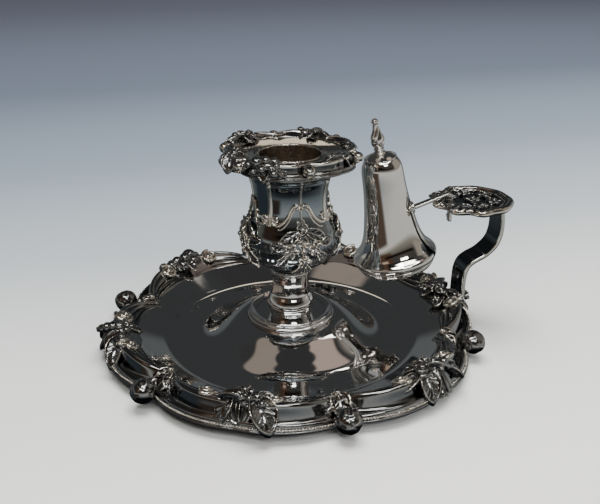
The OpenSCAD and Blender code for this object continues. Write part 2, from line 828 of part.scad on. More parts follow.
thumb_flower_turns = [40, 90, 140, 220, 270, 320];

module thumb_flowers() {
  color(cast)
    for (a = thumb_flower_turns)
      translate([thumb_x + thumb_r * 0.6 * cos(a), thumb_r * 0.6 * sin(a), thumb_z + thumb_t + seat_gap])
        flower(thumb_edge_w * 1.1, thumb_edge_h * 0.5);
}

// Nozzle

nozzle_z = urn_top_z + seat_gap + flange_t + rest_gap;
pan_z = nozzle_z + pan_lift;
tube_bottom_z = pan_z - bore_depth - tube_wall;
lip_r = 0.5;

module nozzle_tube() {
  color(dark)
    translate([0, 0, tube_bottom_z])
      difference() {
        union() {
          cylinder(h = bore_depth + tube_wall, r = tube_r);
          translate([0, 0, bore_depth + tube_wall])
            cylinder(h = lip_r, r1 = tube_r, r2 = tube_r * 0.985);
        }
        translate([0, 0, tube_wall]) cylinder(h = bore_depth + overrun, r = bore_r);
      }
}

pan_rim = [pan_lobe_r, pan_scroll_r, pan_ridge_r, pan_fascia_w, pan_z - pan_lip_drop, pan_t,
           function(r) pan_top(r), 5, pan_lip_arc_r];

module nozzle_pan() {
  inner = tube_r + seat_gap;
  outer = pan_lobe_r + overrun;
  color(dark)
    intersection() {
      rotate_extrude($fn = 96)
        polygon([
          [inner, pan_top(inner) - pan_t], [outer, pan_top(outer) - pan_t], [outer, pan_top(outer)],
          [inner, pan_top(inner)]
        ]);
      linear_extrude(height = pan_z + pan_lobe_r)
        rim_plan(pan_rim);
    }
}

module nozzle_cove() {
  top = pan_z - pan_t - seat_gap;
  inner = tube_r + seat_gap;
  h = top - nozzle_z;
  wide = pan_lobe_r * 0.8;
  color(silver)
    translate([0, 0, nozzle_z])
      rotate_extrude($fn = 96)
        polygon([
          [inner, 0], [flange_r, 0], [flange_r, h * 0.3], [flange_r + (wide - flange_r) * 0.2, h * 0.62],
          [flange_r + (wide - flange_r) * 0.55, h * 0.86],
          [wide, pan_top(wide) - pan_t - seat_gap - nozzle_z], [inner, h]
        ]);
}

module nozzle_border() {
  color(cast) rim_ring(pan_rim);
}

leaflet_steps = 3;
pan_cluster_r = rim_r(pan_rim, 0);
pan_cluster_z = pan_top(pan_cluster_r) + pan_ridge_r;

module nozzle_buds() {
  z = pan_z + pan_bud_r * 0.4;
  color(cast)
    difference() {
      at_notches()
        translate([rim_lip(pan_rim, half_lobe) + pan_bud_r * 0.4, 0, z])
          sphere(r = pan_bud_r);
      for (i = [0:lobes - 1])
        rim_seat(pan_rim, (2 * i + 1) * half_lobe, bud_steps, tube_r + pan_bud_r, pan_z - pan_bud_r * 2);
    }
}

// Share of the full size for the cluster beside the bell and for the others
near_share = 0.72;
far_share = 0.95;
near_out_share = -0.4;
far_out_share = 0.35;
leaflet_turn = 82;

module leaflet(side) {
  turned_leaf(-leaf_t * 0.5, side * leaf_t, 0, side * leaflet_turn, 6, leaf_len * 0.5, leaf_w * 0.4,
              leaf_len * 0.12);
}

pan_places_share = [[0, 0, 0.55, 1.25], [-0.2, 1.6, 0.3, 1], [0.2, -1.7, 0.2, 0.95]];

module nozzle_clusters() {
  color(cast)
    for (i = [0:lobes - 1])
      let (
        r = pan_bud_r * (i == 0 ? near_share : far_share),
        out = pan_bud_r * (i == 0 ? near_out_share : far_out_share)
      )
      difference() {
        rotate([0, 0, i * 2 * half_lobe])
          translate([pan_cluster_r + out, 0, pan_cluster_z - pan_bud_r * 0.2]) {
            for (p = pan_places_share)
              translate([p[0], p[1], p[2]] * r)
                sphere(r = r * p[3], $fn = 24);
            if (i > 0)
              for (side = [-1, 1])
                leaflet(side);
          }
        rim_seat(pan_rim, i * 2 * half_lobe, leaflet_steps, tube_r + pan_bud_r, pan_z - pan_bud_r * 2);
      }
}

// Extinguisher, in a frame at the middle of the bell's widest ring with +Z along its axis

bell_shares = [[0.475, 0.85], [0.5, 0.675], [0.54, 0.52], [0.6, 0.366], [0.665, 0.236], [0.745, 0.14],
               [0.84, 0.075], [0.93, 0.035], [0.985, 0.012], [1, -0.012], [0.985, -0.035], [0.945, -0.055],
               [0.915, -0.062], [0.915, -0.085], [0.885, -0.11], [0.85, -0.122]];
dome_shares = [[0.13, 1], [0.25, 0.985], [0.355, 0.955], [0.425, 0.915]];
bell_points = [for (s = concat(dome_shares, bell_shares)) [bell_r * s[0], bell_h * s[1]]];

module in_bell_frame() {
  translate([bell_x, 0, bell_z])
    rotate([0, -bell_lean, 0])
      children();
}

module bell_envelope(grow) {
  n = len(bell_points) - 1;
  polygon(concat(
    [[0, bell_h + grow]],
    [for (p = bell_points) [p[0] + grow, p[1] + grow * 0.3]],
    [[0, bell_points[n][1]]]
  ));
}

rivet_r = 1.1;

module bell() {
  n = len(bell_points) - 1;
  color(silver)
    in_bell_frame()
      rotate_extrude($fn = 96)
        polygon(concat(
          [[rivet_r + seat_gap, bell_h]],
          bell_points,
          [for (i = [n:-1:1])
            [bell_points[i][0] - bell_wall, bell_points[i][1] - (i < 4 ? bell_wall * 0.8 : 0)]],
          [[rivet_r + seat_gap, bell_h - bell_wall]]
        ));
}

bell_collar_h = 2;
bell_collar_r = bell_points[0][0];

module bell_collar() {
  color(silver)
    in_bell_frame()
      translate([0, 0, bell_h + seat_gap])
        rotate_extrude()
          polygon([
            [rivet_r + seat_gap, 0], [bell_collar_r, 0], [bell_collar_r * 1.05, bell_collar_h * 0.25],
            [bell_collar_r * 0.75, bell_collar_h * 0.5], [bell_collar_r * 0.75, bell_collar_h * 0.7],
            [bell_collar_r * 0.95, bell_collar_h * 0.85], [bell_collar_r * 0.8, bell_collar_h],
            [rivet_r + seat_gap, bell_collar_h]
          ]);
}

flame_shares = [[0.5, 0], [0.85, 0.1], [1, 0.22], [0.95, 0.36], [0.7, 0.52], [0.5, 0.66], [0.38, 0.8],
                [0.5, 0.87], [0.42, 0.95], [0.12, 1]];

module flame_finial() {
  color(silver)
    in_bell_frame()
      translate([0, 0, bell_h + bell_collar_h + 2 * seat_gap])
        rotate_extrude()
          polygon(concat([[0, 0]], [for (s = flame_shares) [flame_r * s[0], flame_h * s[1]]], [[0, flame_h]]));
}

module finial_rivet() {
  head = bell_wall * 1.2;
  under = bell_points[1][1] - bell_wall - seat_gap;
  color(dark)
    in_bell_frame() {
      translate([0, 0, under - head]) cylinder(h = head, r = rivet_r * 2);
      translate([0, 0, under - head / 2]) cylinder(h = bell_h + bell_collar_h - under + head / 2, r = rivet_r);
    }
}

// Hook arm, from its pad on the bell over the plate's edge and down through the slot

arm_top_z = thumb_z + thumb_t + thumb_edge_h * 1.2 + arm_t / 2 + slot_gap;
arm_low_x = bell_x + bell_r * 0.46;
arm_low_z = arm_top_z - arm_w * 1.6;

module arm_plan() {
  hull() {
    translate([arm_low_x, arm_low_z]) circle(r = arm_t / 2, $fn = 32);
    translate([tongue_x - arm_t, arm_top_z]) circle(r = arm_t / 2, $fn = 32);
  }
  hull() {
    translate([tongue_x - arm_t, arm_top_z]) circle(r = arm_t / 2, $fn = 32);
    translate([tongue_x, arm_top_z - arm_t / 2]) circle(r = arm_t / 2, $fn = 32);
  }
  hull() {
    translate([tongue_x, arm_top_z - arm_t / 2]) circle(r = arm_t / 2, $fn = 32);
    translate([tongue_x, arm_top_z - tongue_l]) circle(r = arm_t / 2, $fn = 32);
  }
}

module hook_arm() {
  color(silver)
    difference() {
      translate([0, arm_w / 2, 0])
        rotate([90, 0, 0])
          linear_extrude(height = arm_w)
            arm_plan();
      in_bell_frame()
        rotate_extrude($fn = 96)
          bell_envelope(arm_t * 0.5 + 2 * seat_gap);
    }
}

module arm_pad() {
  color(silver)
    intersection() {
      difference() {
        in_bell_frame()
          rotate_extrude($fn = 96)
            bell_envelope(arm_t * 0.5);
        in_bell_frame()
          rotate_extrude($fn = 96)
            bell_envelope(seat_gap);
      }
      translate([arm_low_x - arm_w, 0, arm_low_z])
        rotate([0, 90, 0])
          cylinder(h = arm_w * 4, r = arm_w);
    }
}

tray();
border_ring();
border_curls();
border_buds();
bud_calyxes();
handle_cluster();
shell_cluster();
leaf_cluster();
roll_cluster();
grape_cluster();
back_cluster();
stem_foot();
stem_knop();
stem_collar();
urn();
urn_ribs();
urn_scroll_line();
urn_sprays();
socket_liner();
stem_screw();
stem_washer();
stem_nut();
handle_strap();
handle_foot();
thumb_plate();
thumb_border();
thumb_flowers();
nozzle_tube();
nozzle_pan();
nozzle_cove();
nozzle_border();
nozzle_clusters();
nozzle_buds();
bell();
bell_collar();
flame_finial();
finial_rivet();
arm_pad();
hook_arm();
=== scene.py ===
"""Looks of the chamberstick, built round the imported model.

Lengths are in millimetres until a mesh is made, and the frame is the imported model's: the origin is on the
candle's axis at table level, +X towards the handle and +Z up.
"""
import json
import logging
import math
from dataclasses import dataclass, field
from enum import Enum
from typing import Callable, Sequence

import bmesh
import bpy
import numpy as np
from bpy.types import ID, Curve, Material, Mesh, Node, NodeSocket, NodeTree, Object
from mathutils import Matrix, Vector

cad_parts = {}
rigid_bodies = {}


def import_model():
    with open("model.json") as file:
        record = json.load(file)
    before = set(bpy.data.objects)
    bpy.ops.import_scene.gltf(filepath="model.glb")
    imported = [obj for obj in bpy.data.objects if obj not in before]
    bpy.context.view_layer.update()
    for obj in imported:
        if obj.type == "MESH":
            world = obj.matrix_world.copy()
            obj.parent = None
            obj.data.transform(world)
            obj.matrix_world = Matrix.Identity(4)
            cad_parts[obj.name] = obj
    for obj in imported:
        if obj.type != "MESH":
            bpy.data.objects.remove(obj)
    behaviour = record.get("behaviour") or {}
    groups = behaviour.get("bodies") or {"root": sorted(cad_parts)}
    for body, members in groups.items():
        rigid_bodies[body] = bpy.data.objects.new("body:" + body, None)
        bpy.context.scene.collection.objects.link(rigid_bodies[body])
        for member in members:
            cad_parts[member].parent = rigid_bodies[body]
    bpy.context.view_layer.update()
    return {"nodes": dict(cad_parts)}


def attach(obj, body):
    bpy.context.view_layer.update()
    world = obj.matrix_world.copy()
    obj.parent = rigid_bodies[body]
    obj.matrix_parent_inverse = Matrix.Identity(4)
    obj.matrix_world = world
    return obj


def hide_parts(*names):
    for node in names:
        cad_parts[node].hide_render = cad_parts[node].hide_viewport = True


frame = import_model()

MM = 0.001
RELIEF_ROUNDS = (2, 10)
RELIEF_PULL = 0.6
log = logging.getLogger("chamberstick")

Array = np.ndarray
Colour = tuple[float, float, float]
Wires = dict[int | str, object]


# Shared maths


def smoothstep(low: float, high: float, value: Array | float) -> Array:
    """Rises smoothly from 0 to 1.

    Args:
        low: Value where the rise starts.
        high: Value where the rise ends.
        value: Values to judge.

    Returns:
        The eased share for each value.
    """
    t = np.clip((np.asarray(value, float) - low) / (high - low), 0.0, 1.0)
    return t * t * (3.0 - 2.0 * t)


def spline(points: Array, steps: int, closed: bool = False) -> Array:
    """Runs a smooth curve through points.

    Args:
        points: Points on the next-to-last axis and coordinates on the last.
        steps: Pieces that each span is cut into.
        closed: Whether the curve joins its own start.

    Returns:
        The denser points, laid out as the input is.
    """
    points = np.asarray(points, float)
    count = points.shape[-2]
    spans = count if closed else count - 1

    def at(shift: int) -> Array:
        """Point of each span, shifted along the curve."""
        index = np.arange(spans) + shift
        index = index % count if closed else np.clip(index, 0, count - 1)
        return points[..., index, :]

    a, b, c, d = at(-1), at(0), at(1), at(2)
    pieces = []
    for k in range(steps):
        t = k / steps
        pieces.append(0.5 * (2 * b + (c - a) * t + (2 * a - 5 * b + 4 * c - d) * t ** 2
                             + (3 * b - a - 3 * c + d) * t ** 3))
    dense = np.stack(pieces, axis=-2).reshape(points.shape[:-2] + (spans * steps, points.shape[-1]))
    if closed:
        return dense
    return np.concatenate([dense, points[..., -1:, :]], axis=-2)


def circle(count: int) -> Array:
    """Angles spread evenly round a circle, in radians."""
    return np.linspace(0, 2 * math.pi, count, endpoint=False)


def off_middle(angle: Array, half: float) -> Array:
    """Angle from the middle of the nearest of equal sectors, each twice the half."""
    return np.abs((angle + half) % (2 * half) - half)


def squared(wave: Array, power: float) -> Array:
    """Fills a sine or cosine out towards a square, the more the lower the power."""
    return np.sign(wave) * np.abs(wave) ** power


def polar(radius: Array, angle: Array, height: Array) -> Array:
    """Turns radii, angles in radians and heights into points."""
    return np.stack(np.broadcast_arrays(radius * np.cos(angle), radius * np.sin(angle), height), axis=-1)


# Forms


class Ends(Enum):
    """How the rows of a lattice end."""

    CLOSED = "closed"
    CAPPED = "capped"


@dataclass
class Form:
    """Points in millimetres with the faces that join them."""

    points: Array
    faces: list[tuple[int, ...]]

    @staticmethod
    def lattice(rows: Array, ends: Ends) -> "Form":
        """Joins rows of points, each row a closed loop.

        Args:
            rows: Array of rows, points in a row and coordinates.
            ends: What happens at the first and last row.

        Returns:
            The form, with fans over capped ends.
        """
        rows = np.asarray(rows, float)
        n, m = rows.shape[:2]
        points = rows.reshape(-1, 3)
        spans = n if ends is Ends.CLOSED else n - 1
        i = np.arange(spans)[:, None]
        j = np.arange(m)[None, :]
        below, above = i * m, ((i + 1) % n) * m
        after = (j + 1) % m
        corners = np.broadcast_arrays(below + j, above + j, above + after, below + after)
        quads = np.stack(corners, -1).reshape(-1, 4)
        faces = [tuple(q) for q in quads.tolist()]
        if ends is Ends.CAPPED:
            points = np.vstack([points, rows[0].mean(0), rows[-1].mean(0)])
            first, last, base = n * m, n * m + 1, (n - 1) * m
            faces += [((k + 1) % m, first, k) for k in range(m)]
            faces += [(base + k, last, base + (k + 1) % m) for k in range(m)]
        return Form(points, faces)

    @staticmethod
    def wrapped(*sheets: Array) -> "Form":
        """Joins sheets of points, each of which goes on where the last one ends, into one closed ring."""
        return Form.lattice(np.concatenate(sheets, 1), Ends.CLOSED)

    @staticmethod
    def lathe(profile: Array, turns: int = 144) -> "Form":
        """Revolves an outline about +Z.

        Args:
            profile: Radii and heights; the outline is closed unless it starts and ends on the axis.
            turns: Faces round the axis.

        Returns:
            The closed form.
        """
        profile = np.asarray(profile, float)
        angles = circle(turns)
        if profile[0, 0] > 0:
            rows = polar(profile[:, 0][None, :], angles[:, None], profile[:, 1][None, :])
            return Form.lattice(rows, Ends.CLOSED)
        rows = polar(profile[1:-1, 0][:, None], angles[None, :], profile[1:-1, 1][:, None])
        form = Form.lattice(rows, Ends.CAPPED)
        form.points[-2] = (0, 0, profile[0, 1])
        form.points[-1] = (0, 0, profile[-1, 1])
        return form

    @staticmethod
    def tube(path: Array, radii: Array | float, sides: int = 12) -> "Form":
        """Sweeps a round section along an open path.

        Args:
            path: Points of the middle line.
            radii: One radius, or one for each point.
            sides: Points round the section.

        Returns:
            The swept form, with closed ends.
        """
        path = np.asarray(path, float)
        radii = np.broadcast_to(np.asarray(radii, float), (len(path),))
        along = np.gradient(path, axis=0)
        along /= np.linalg.norm(along, axis=1)[:, None] + 1e-12
        normal = np.cross(along[0], (0, 0, 1.0))
        rows = []
        turns = circle(sides)
        for point, way, radius in zip(path, along, radii):
            normal = normal - way * np.dot(normal, way)
            normal /= np.linalg.norm(normal)
            side = np.cross(way, normal)
            rows.append(point + radius * (np.cos(turns)[:, None] * normal + np.sin(turns)[:, None] * side))
        return Form.lattice(np.array(rows), Ends.CAPPED)

    @staticmethod
    def strap(path: Array, section: Array) -> "Form":
        """Sweeps a section along a path that stays in the plane of X and Z.

        Args:
            path: Points of the middle line.
            section: Distances of its points along Y and outwards.

        Returns:
            The swept form, with closed ends.
        """
        along = np.gradient(path, axis=0)
        along /= np.linalg.norm(along, axis=1)[:, None]
        out = np.stack([along[:, 2], along[:, 1], -along[:, 0]], -1)
        rows = path[:, None, :] + out[:, None, :] * section[:, 1:] + np.array([0, 1.0, 0]) * section[:, :1]
        return Form.lattice(rows, Ends.CAPPED)

    @staticmethod
    def ball(radius: float, centre: Sequence[float] = (0, 0, 0), rings: int = 16,
             swell: Callable[[Array, Array], Array] | None = None) -> "Form":
        """A ball, with lobes or dents if a swell is given.

        Args:
            radius: Radius of the ball.
            centre: Middle of the ball.
            rings: Rings from pole to pole.
            swell: Gives a radius factor from the angle down from +Z and the angle round it.

        Returns:
            The closed form.
        """
        down = np.linspace(0, math.pi, rings + 1)[1:-1][:, None]
        round_z = circle(2 * rings)[None, :]
        size = radius * (swell(down, round_z) if swell else np.ones_like(down * round_z))
        rows = np.stack([size * np.sin(down) * np.cos(round_z), size * np.sin(down) * np.sin(round_z),
                         size * np.cos(down)], -1)
        form = Form.lattice(rows, Ends.CAPPED)
        form.points[-2] = (0, 0, size[0].mean())
        form.points[-1] = (0, 0, -size[-1].mean())
        form.points += np.asarray(centre, float)
        return form

    @staticmethod
    def sheet(top: Array, thickness: float) -> "Form":
        """Gives a patch of points a thickness below it.

        Args:
            top: Grid of points, seen from above.
            thickness: Depth of the sheet at its middle.

        Returns:
            The closed form.
        """
        n, m = top.shape[:2]
        across = np.sin(np.linspace(0, math.pi, m))[None, :]
        along = np.sin(np.linspace(0.15, math.pi - 0.15, n))[:, None]
        depth = thickness * (0.55 + 0.45 * (across * along))
        bottom = top - np.stack([np.zeros_like(depth), np.zeros_like(depth), depth], -1)
        return Form.lattice(np.concatenate([top, bottom[:, ::-1]], axis=1), Ends.CAPPED)

    @staticmethod
    def joined(forms: Sequence["Form"]) -> "Form":
        """Puts forms in one, without merging them."""
        points, faces, start = [], [], 0
        for form in forms:
            points.append(form.points)
            faces += [tuple(start + k for k in face) for face in form.faces]
            start += len(form.points)
        return Form(np.vstack(points), faces)

    @staticmethod
    def of_mesh(mesh: Mesh) -> "Form":
        """Reads a mesh back into millimetres."""
        return Form(values_of(mesh.vertices, "co", 3) / MM, [tuple(p.vertices) for p in mesh.polygons])

    def placed(self, matrix: Matrix) -> "Form":
        """The form moved by a matrix in millimetres."""
        turn = np.array(matrix.to_3x3())
        return Form(self.points @ turn.T + np.array(matrix.translation), list(self.faces))

    def at(self, *place: float) -> "Form":
        """The form moved to a spot."""
        return self.placed(spot(*place))

    def mesh(self, name: str) -> Mesh:
        """Makes a mesh in metres whose faces point outwards.

        Args:
            name: Name of the mesh.

        Returns:
            The mesh, smooth-shaded.
        """
        mesh = bpy.data.meshes.new(name)
        mesh.from_pydata((self.points * MM).tolist(), [], self.faces)
        work = bmesh.new()
        work.from_mesh(mesh)
        bmesh.ops.remove_doubles(work, verts=work.verts, dist=1e-7)
        bmesh.ops.recalc_face_normals(work, faces=work.faces)
        work.to_mesh(mesh)
        work.free()
        mesh.shade_smooth()
        return mesh


def turned(degrees: float, axis: str) -> Matrix:
    """A turn about an axis through the origin."""
    return Matrix.Rotation(math.radians(degrees), 4, axis)


def spot(x: float, y: float, z: float, turn: float = 0, pitch: float = 0, roll: float = 0) -> Matrix:
    """A place in millimetres, with a roll about X, then a pitch about Y, then a turn about Z, in degrees."""
    return Matrix.Translation((x, y, z)) @ turned(turn, "Z") @ turned(pitch, "Y") @ turned(roll, "X")


def values_of(items: bpy.types.bpy_prop_collection, key: str, width: int, kind: type = float) -> Array:
    """Reads one property of every item.

    Args:
        items: The vertices, edges or faces of a mesh.
        key: Name of the property.
        width: Numbers that each item has.
        kind: Type of the numbers.

    Returns:
        A row of numbers for each item.
    """
    values = np.empty(len(items) * width, kind)
    items.foreach_get(key, values)
    return values.reshape(-1, width)


# Node trees


class Kind(Enum):
    """Socket types that the trees use."""

    GEOMETRY = "NodeSocketGeometry"
    OBJECT = "NodeSocketObject"
    FLOAT = "NodeSocketFloat"
    INT = "NodeSocketInt"
    VECTOR = "NodeSocketVector"


class Graph:
    """One node tree with named inputs and outputs."""

    def __init__(self, name: str, tree_type: str) -> None:
        """Starts an empty tree.

        Args:
            name: Name of the tree.
            tree_type: Blender's type of tree.
        """
        self.tree = bpy.data.node_groups.new(name, tree_type)
        self.ids: dict[str, str] = {}
        self.start = self.tree.nodes.new("NodeGroupInput")
        self.end = self.tree.nodes.new("NodeGroupOutput")

    def takes(self, name: str, kind: Kind, default: float | None = None) -> NodeSocket:
        """Adds an input.

        Args:
            name: Name of the input.
            kind: Its type.
            default: Its value where none is given.

        Returns:
            The socket to wire from.
        """
        item = self.tree.interface.new_socket(name=name, in_out="INPUT", socket_type=kind.value)
        if default is not None:
            item.default_value = default
        self.ids[name] = item.identifier
        return self.start.outputs[name]

    def gives(self, name: str, kind: Kind, source: NodeSocket) -> None:
        """Adds an output and wires a socket to it."""
        self.tree.interface.new_socket(name=name, in_out="OUTPUT", socket_type=kind.value)
        self.tree.links.new(source, self.end.inputs[name])

    def add(self, node_type: str, wires: Wires | None = None, **settings: object) -> Node:
        """Adds a node to this tree, as add_node does."""
        return add_node(self.tree, node_type, wires, **settings)

    def sum(self, operation: str, *values: object, **settings: object) -> NodeSocket:
        """Works out numbers in this tree, as add_sum does."""
        return add_sum(self.tree, operation, *values, **settings)


def add_node(tree: NodeTree, node_type: str, wires: Wires | None = None,
             **settings: object) -> Node:
    """Adds a node to a tree, with its settings, values and wires.

    Args:
        tree: The tree that gets the node.
        node_type: Blender's name of the node.
        wires: For each input, the socket or the value that it takes.
        settings: Properties of the node.

    Returns:
        The node.
    """
    node = tree.nodes.new(node_type)
    for key, value in settings.items():
        setattr(node, key, value)
    for key, value in (wires or {}).items():
        if isinstance(value, NodeSocket):
            tree.links.new(value, node.inputs[key])
        else:
            node.inputs[key].default_value = value
    return node


def add_sum(tree: NodeTree, operation: str, *values: object, **settings: object) -> NodeSocket:
    """Adds a node that works out numbers.

    Args:
        tree: The tree that gets the node.
        operation: Blender's name of the sum.
        values: The sockets or numbers that it takes, in order.
        settings: Other properties of the node.

    Returns:
        The result's socket.
    """
    wires = dict(enumerate(values))
    return add_node(tree, "ShaderNodeMath", wires, operation=operation, **settings).outputs[0]


def add_group(tree: NodeTree, graph: Graph, wires: Wires | None = None) -> Node:
    """Adds a shared group to a tree, with its values and wires."""
    return add_node(tree, "ShaderNodeGroup", wires, node_tree=graph.tree)


def add_mix(tree: NodeTree, share: NodeSocket, first: NodeSocket | Colour,
            second: NodeSocket | Colour) -> NodeSocket:
    """Mixes two colours by a mask, and returns the mixed colour's socket."""
    wires = {0: share}
    for key, value in ((6, first), (7, second)):
        wires[key] = value if isinstance(value, NodeSocket) else (*value, 1.0)
    return add_node(tree, "ShaderNodeMix", wires, data_type="RGBA").outputs[2]


def new_material(name: str) -> tuple[Material, Node]:
    """Makes a material and returns it with its Principled shader."""
    material = bpy.data.materials.new(name)
    material.use_nodes = True
    return material, next(n for n in material.node_tree.nodes if n.type == "BSDF_PRINCIPLED")


class Repeats:
    """The geometry trees that set out pieces which repeat or follow a path."""

    def __init__(self) -> None:
        """Builds each tree once."""
        self.ring = self._ring()
        self.beads = self._beads()
        self.wire = self._wire()

    @staticmethod
    def _finish(graph: Graph, geometry: NodeSocket) -> Graph:
        """Ends a tree in real, smooth geometry."""
        real = graph.add("GeometryNodeRealizeInstances", {0: geometry})
        smooth = graph.add("GeometryNodeSetShadeSmooth", {0: real.outputs[0]})
        graph.gives("Geometry", Kind.GEOMETRY, smooth.outputs[0])
        return graph

    def _ring(self) -> Graph:
        """Copies of a piece, turned about +Z."""
        graph = Graph("pieces_in_a_ring", "GeometryNodeTree")
        piece = graph.takes("Piece", Kind.OBJECT)
        count = graph.takes("Count", Kind.INT, 6)
        first = graph.takes("First turn", Kind.FLOAT, 0.0)
        points = graph.add("GeometryNodePoints", {0: count})
        index = graph.add("GeometryNodeInputIndex")
        turn = graph.sum("MULTIPLY_ADD", index.outputs[0], graph.sum("DIVIDE", 2 * math.pi, count), first)
        about = graph.add("ShaderNodeCombineXYZ", {2: turn})
        shape = graph.add("GeometryNodeObjectInfo", {0: piece})
        copies = graph.add("GeometryNodeInstanceOnPoints",
                           {0: points.outputs[0], 2: shape.outputs["Geometry"], 5: about.outputs[0]})
        return self._finish(graph, copies.outputs[0])

    def _beads(self) -> Graph:
        """Small balls along a curve, each a little different in size."""
        graph = Graph("beads_on_a_path", "GeometryNodeTree")
        path = graph.takes("Path", Kind.OBJECT)
        count = graph.takes("Count", Kind.INT, 100)
        radius = graph.takes("Radius", Kind.FLOAT, 0.0005)
        spread = graph.takes("Spread", Kind.FLOAT, 0.15)
        shape = graph.add("GeometryNodeObjectInfo", {0: path})
        spots = graph.add("GeometryNodeCurveToPoints", {0: shape.outputs["Geometry"], 1: count}, mode="COUNT")
        least = graph.sum("SUBTRACT", 1.0, spread)
        size = graph.add("FunctionNodeRandomValue", {2: least, 3: 1.0, 8: 7}, data_type="FLOAT")
        bead = graph.add("GeometryNodeMeshIcoSphere", {0: radius, 1: 2})
        copies = graph.add("GeometryNodeInstanceOnPoints",
                           {0: spots.outputs[0], 2: bead.outputs[0], 6: size.outputs[1]})
        return self._finish(graph, copies.outputs[0])

    def _wire(self) -> Graph:
        """A round wire that follows a curve, as thick as the curve's own radius says."""
        graph = Graph("wire_on_a_path", "GeometryNodeTree")
        path = graph.takes("Path", Kind.OBJECT)
        radius = graph.takes("Radius", Kind.FLOAT, 0.0005)
        shape = graph.add("GeometryNodeObjectInfo", {0: path})
        section = graph.add("GeometryNodeCurvePrimitiveCircle", {0: 10, 4: radius})
        swept = graph.add("GeometryNodeCurveToMesh",
                          {0: shape.outputs["Geometry"], 1: section.outputs[0], "Fill Caps": True})
        return self._finish(graph, swept.outputs[0])

    @staticmethod
    def grown(name: str, graph: Graph, values: dict[str, object]) -> Object:
        """Runs a tree and keeps its result as a plain mesh.

        Args:
            name: Name of the new piece.
            graph: The tree.
            values: A value for each named input.

        Returns:
            The piece, at the origin and with no modifier.
        """
        host = scene_object(name, bpy.data.meshes.new(name + "_seed"))
        grower = host.modifiers.new("grown", "NODES")
        grower.node_group = graph.tree
        for key, value in values.items():
            grower[graph.ids[key]] = value
        host.update_tag()
        mesh = worked(host)
        host.modifiers.remove(grower)
        host.data = mesh
        mesh.name = name
        return host


def scene_object(name: str, data: ID) -> Object:
    """Puts data in the scene as an object at the origin."""
    thing = bpy.data.objects.new(name, data)
    bpy.context.scene.collection.objects.link(thing)
    return thing


def worked(thing: Object) -> Mesh:
    """The mesh that an object's modifiers end in."""
    bpy.context.view_layer.update()
    return bpy.data.meshes.new_from_object(thing.evaluated_get(bpy.context.evaluated_depsgraph_get()))


def turned_to(place: Vector, aim: Vector, axis: str) -> Matrix:
    """A place in metres from which an axis points at an aim."""
    return Matrix.Translation(place) @ (aim - place).to_track_quat(axis, "Y").to_matrix().to_4x4()


def path_object(name: str, points: Array, closed: bool = False,
                radii: Array | None = None) -> Object:
    """Makes a curve for a tree to follow.

    Args:
        name: Name of the curve.
        points: Points in millimetres.
        closed: Whether the curve is a loop.
        radii: Share of the full thickness at each point.

    Returns:
        The curve object, which is deleted after use.
    """
    curve = bpy.data.curves.new(name, "CURVE")
    curve.dimensions = "3D"
    line = curve.splines.new("POLY")
    line.points.add(len(points) - 1)
    flat = np.hstack([np.asarray(points) * MM, np.ones((len(points), 1))])
    line.points.foreach_set("co", flat.ravel())
    if radii is not None:
        line.points.foreach_set("radius", np.asarray(radii, float))
    line.use_cyclic_u = closed
    return scene_object(name, curve)


def discard(thing: Object) -> None:
    """Deletes an object and its data."""
    data = thing.data
    bpy.data.objects.remove(thing)
    if isinstance(data, Curve):
        bpy.data.curves.remove(data)
    elif isinstance(data, Mesh):
        bpy.data.meshes.remove(data)


def fused(name: str, form: Form, grain: float, rounds: int = 1) -> Mesh:
    """Melts overlapping closed forms into one casting.

    Args:
        name: Name of the mesh.
        form: The forms, in millimetres.
        grain: Size of the cells that the casting is rebuilt from, in millimetres.
        rounds: Times that the surface is smoothed.

    Returns:
        The casting's mesh.
    """
    rough = scene_object(name + "_rough", form.mesh(name + "_rough"))
    melt = rough.modifiers.new("melt", "REMESH")
    melt.mode = "VOXEL"
    melt.voxel_size = grain * MM
    melt.use_smooth_shade = True
    ease = rough.modifiers.new("ease", "SMOOTH")
    ease.factor = 0.5
    ease.iterations = rounds
    mesh = worked(rough)
    mesh.name = name
    discard(rough)
    mesh.shade_smooth()
    return mesh


def mark_relief(mesh: Mesh, reach: float, depth: float) -> None:
    """Keeps on each point how far it stands out of the surface round it, for the finishes to read.

    Args:
        mesh: The mesh that gets the attribute called relief: 0 is deep, 0.5 is even and 1 is proud.
        reach: Width of the surface that each point is compared with, in millimetres.
        depth: Height that counts as fully proud, in millimetres.
    """
    count = len(mesh.vertices)
    points = values_of(mesh.vertices, "co", 3) / MM
    normals = values_of(mesh.vertices, "normal", 3)
    a, b = values_of(mesh.edges, "vertices", 2, int).T
    length = np.linalg.norm(points[a] - points[b], axis=1)
    weight = np.clip(length.mean() / (length + 1e-6), 0, 8)
    total = np.bincount(a, weight, count) + np.bincount(b, weight, count) + 1e-9
    rounds = int(np.clip((reach / length.mean()) ** 2, *RELIEF_ROUNDS))
    eased = points.copy()
    for _ in range(rounds):
        for axis in range(3):
            value = eased[:, axis].copy()
            pull = np.bincount(a, weight * value[b], count) + np.bincount(b, weight * value[a], count)
            eased[:, axis] = (1 - RELIEF_PULL) * value + RELIEF_PULL * pull / total
    height = ((points - eased) * normals).sum(1)
    relief = np.clip(0.5 + 0.5 * height / depth, 0, 1)
    layer = mesh.attributes.new("relief", "FLOAT", "POINT")
    layer.data.foreach_set("value", relief)


# Finishes


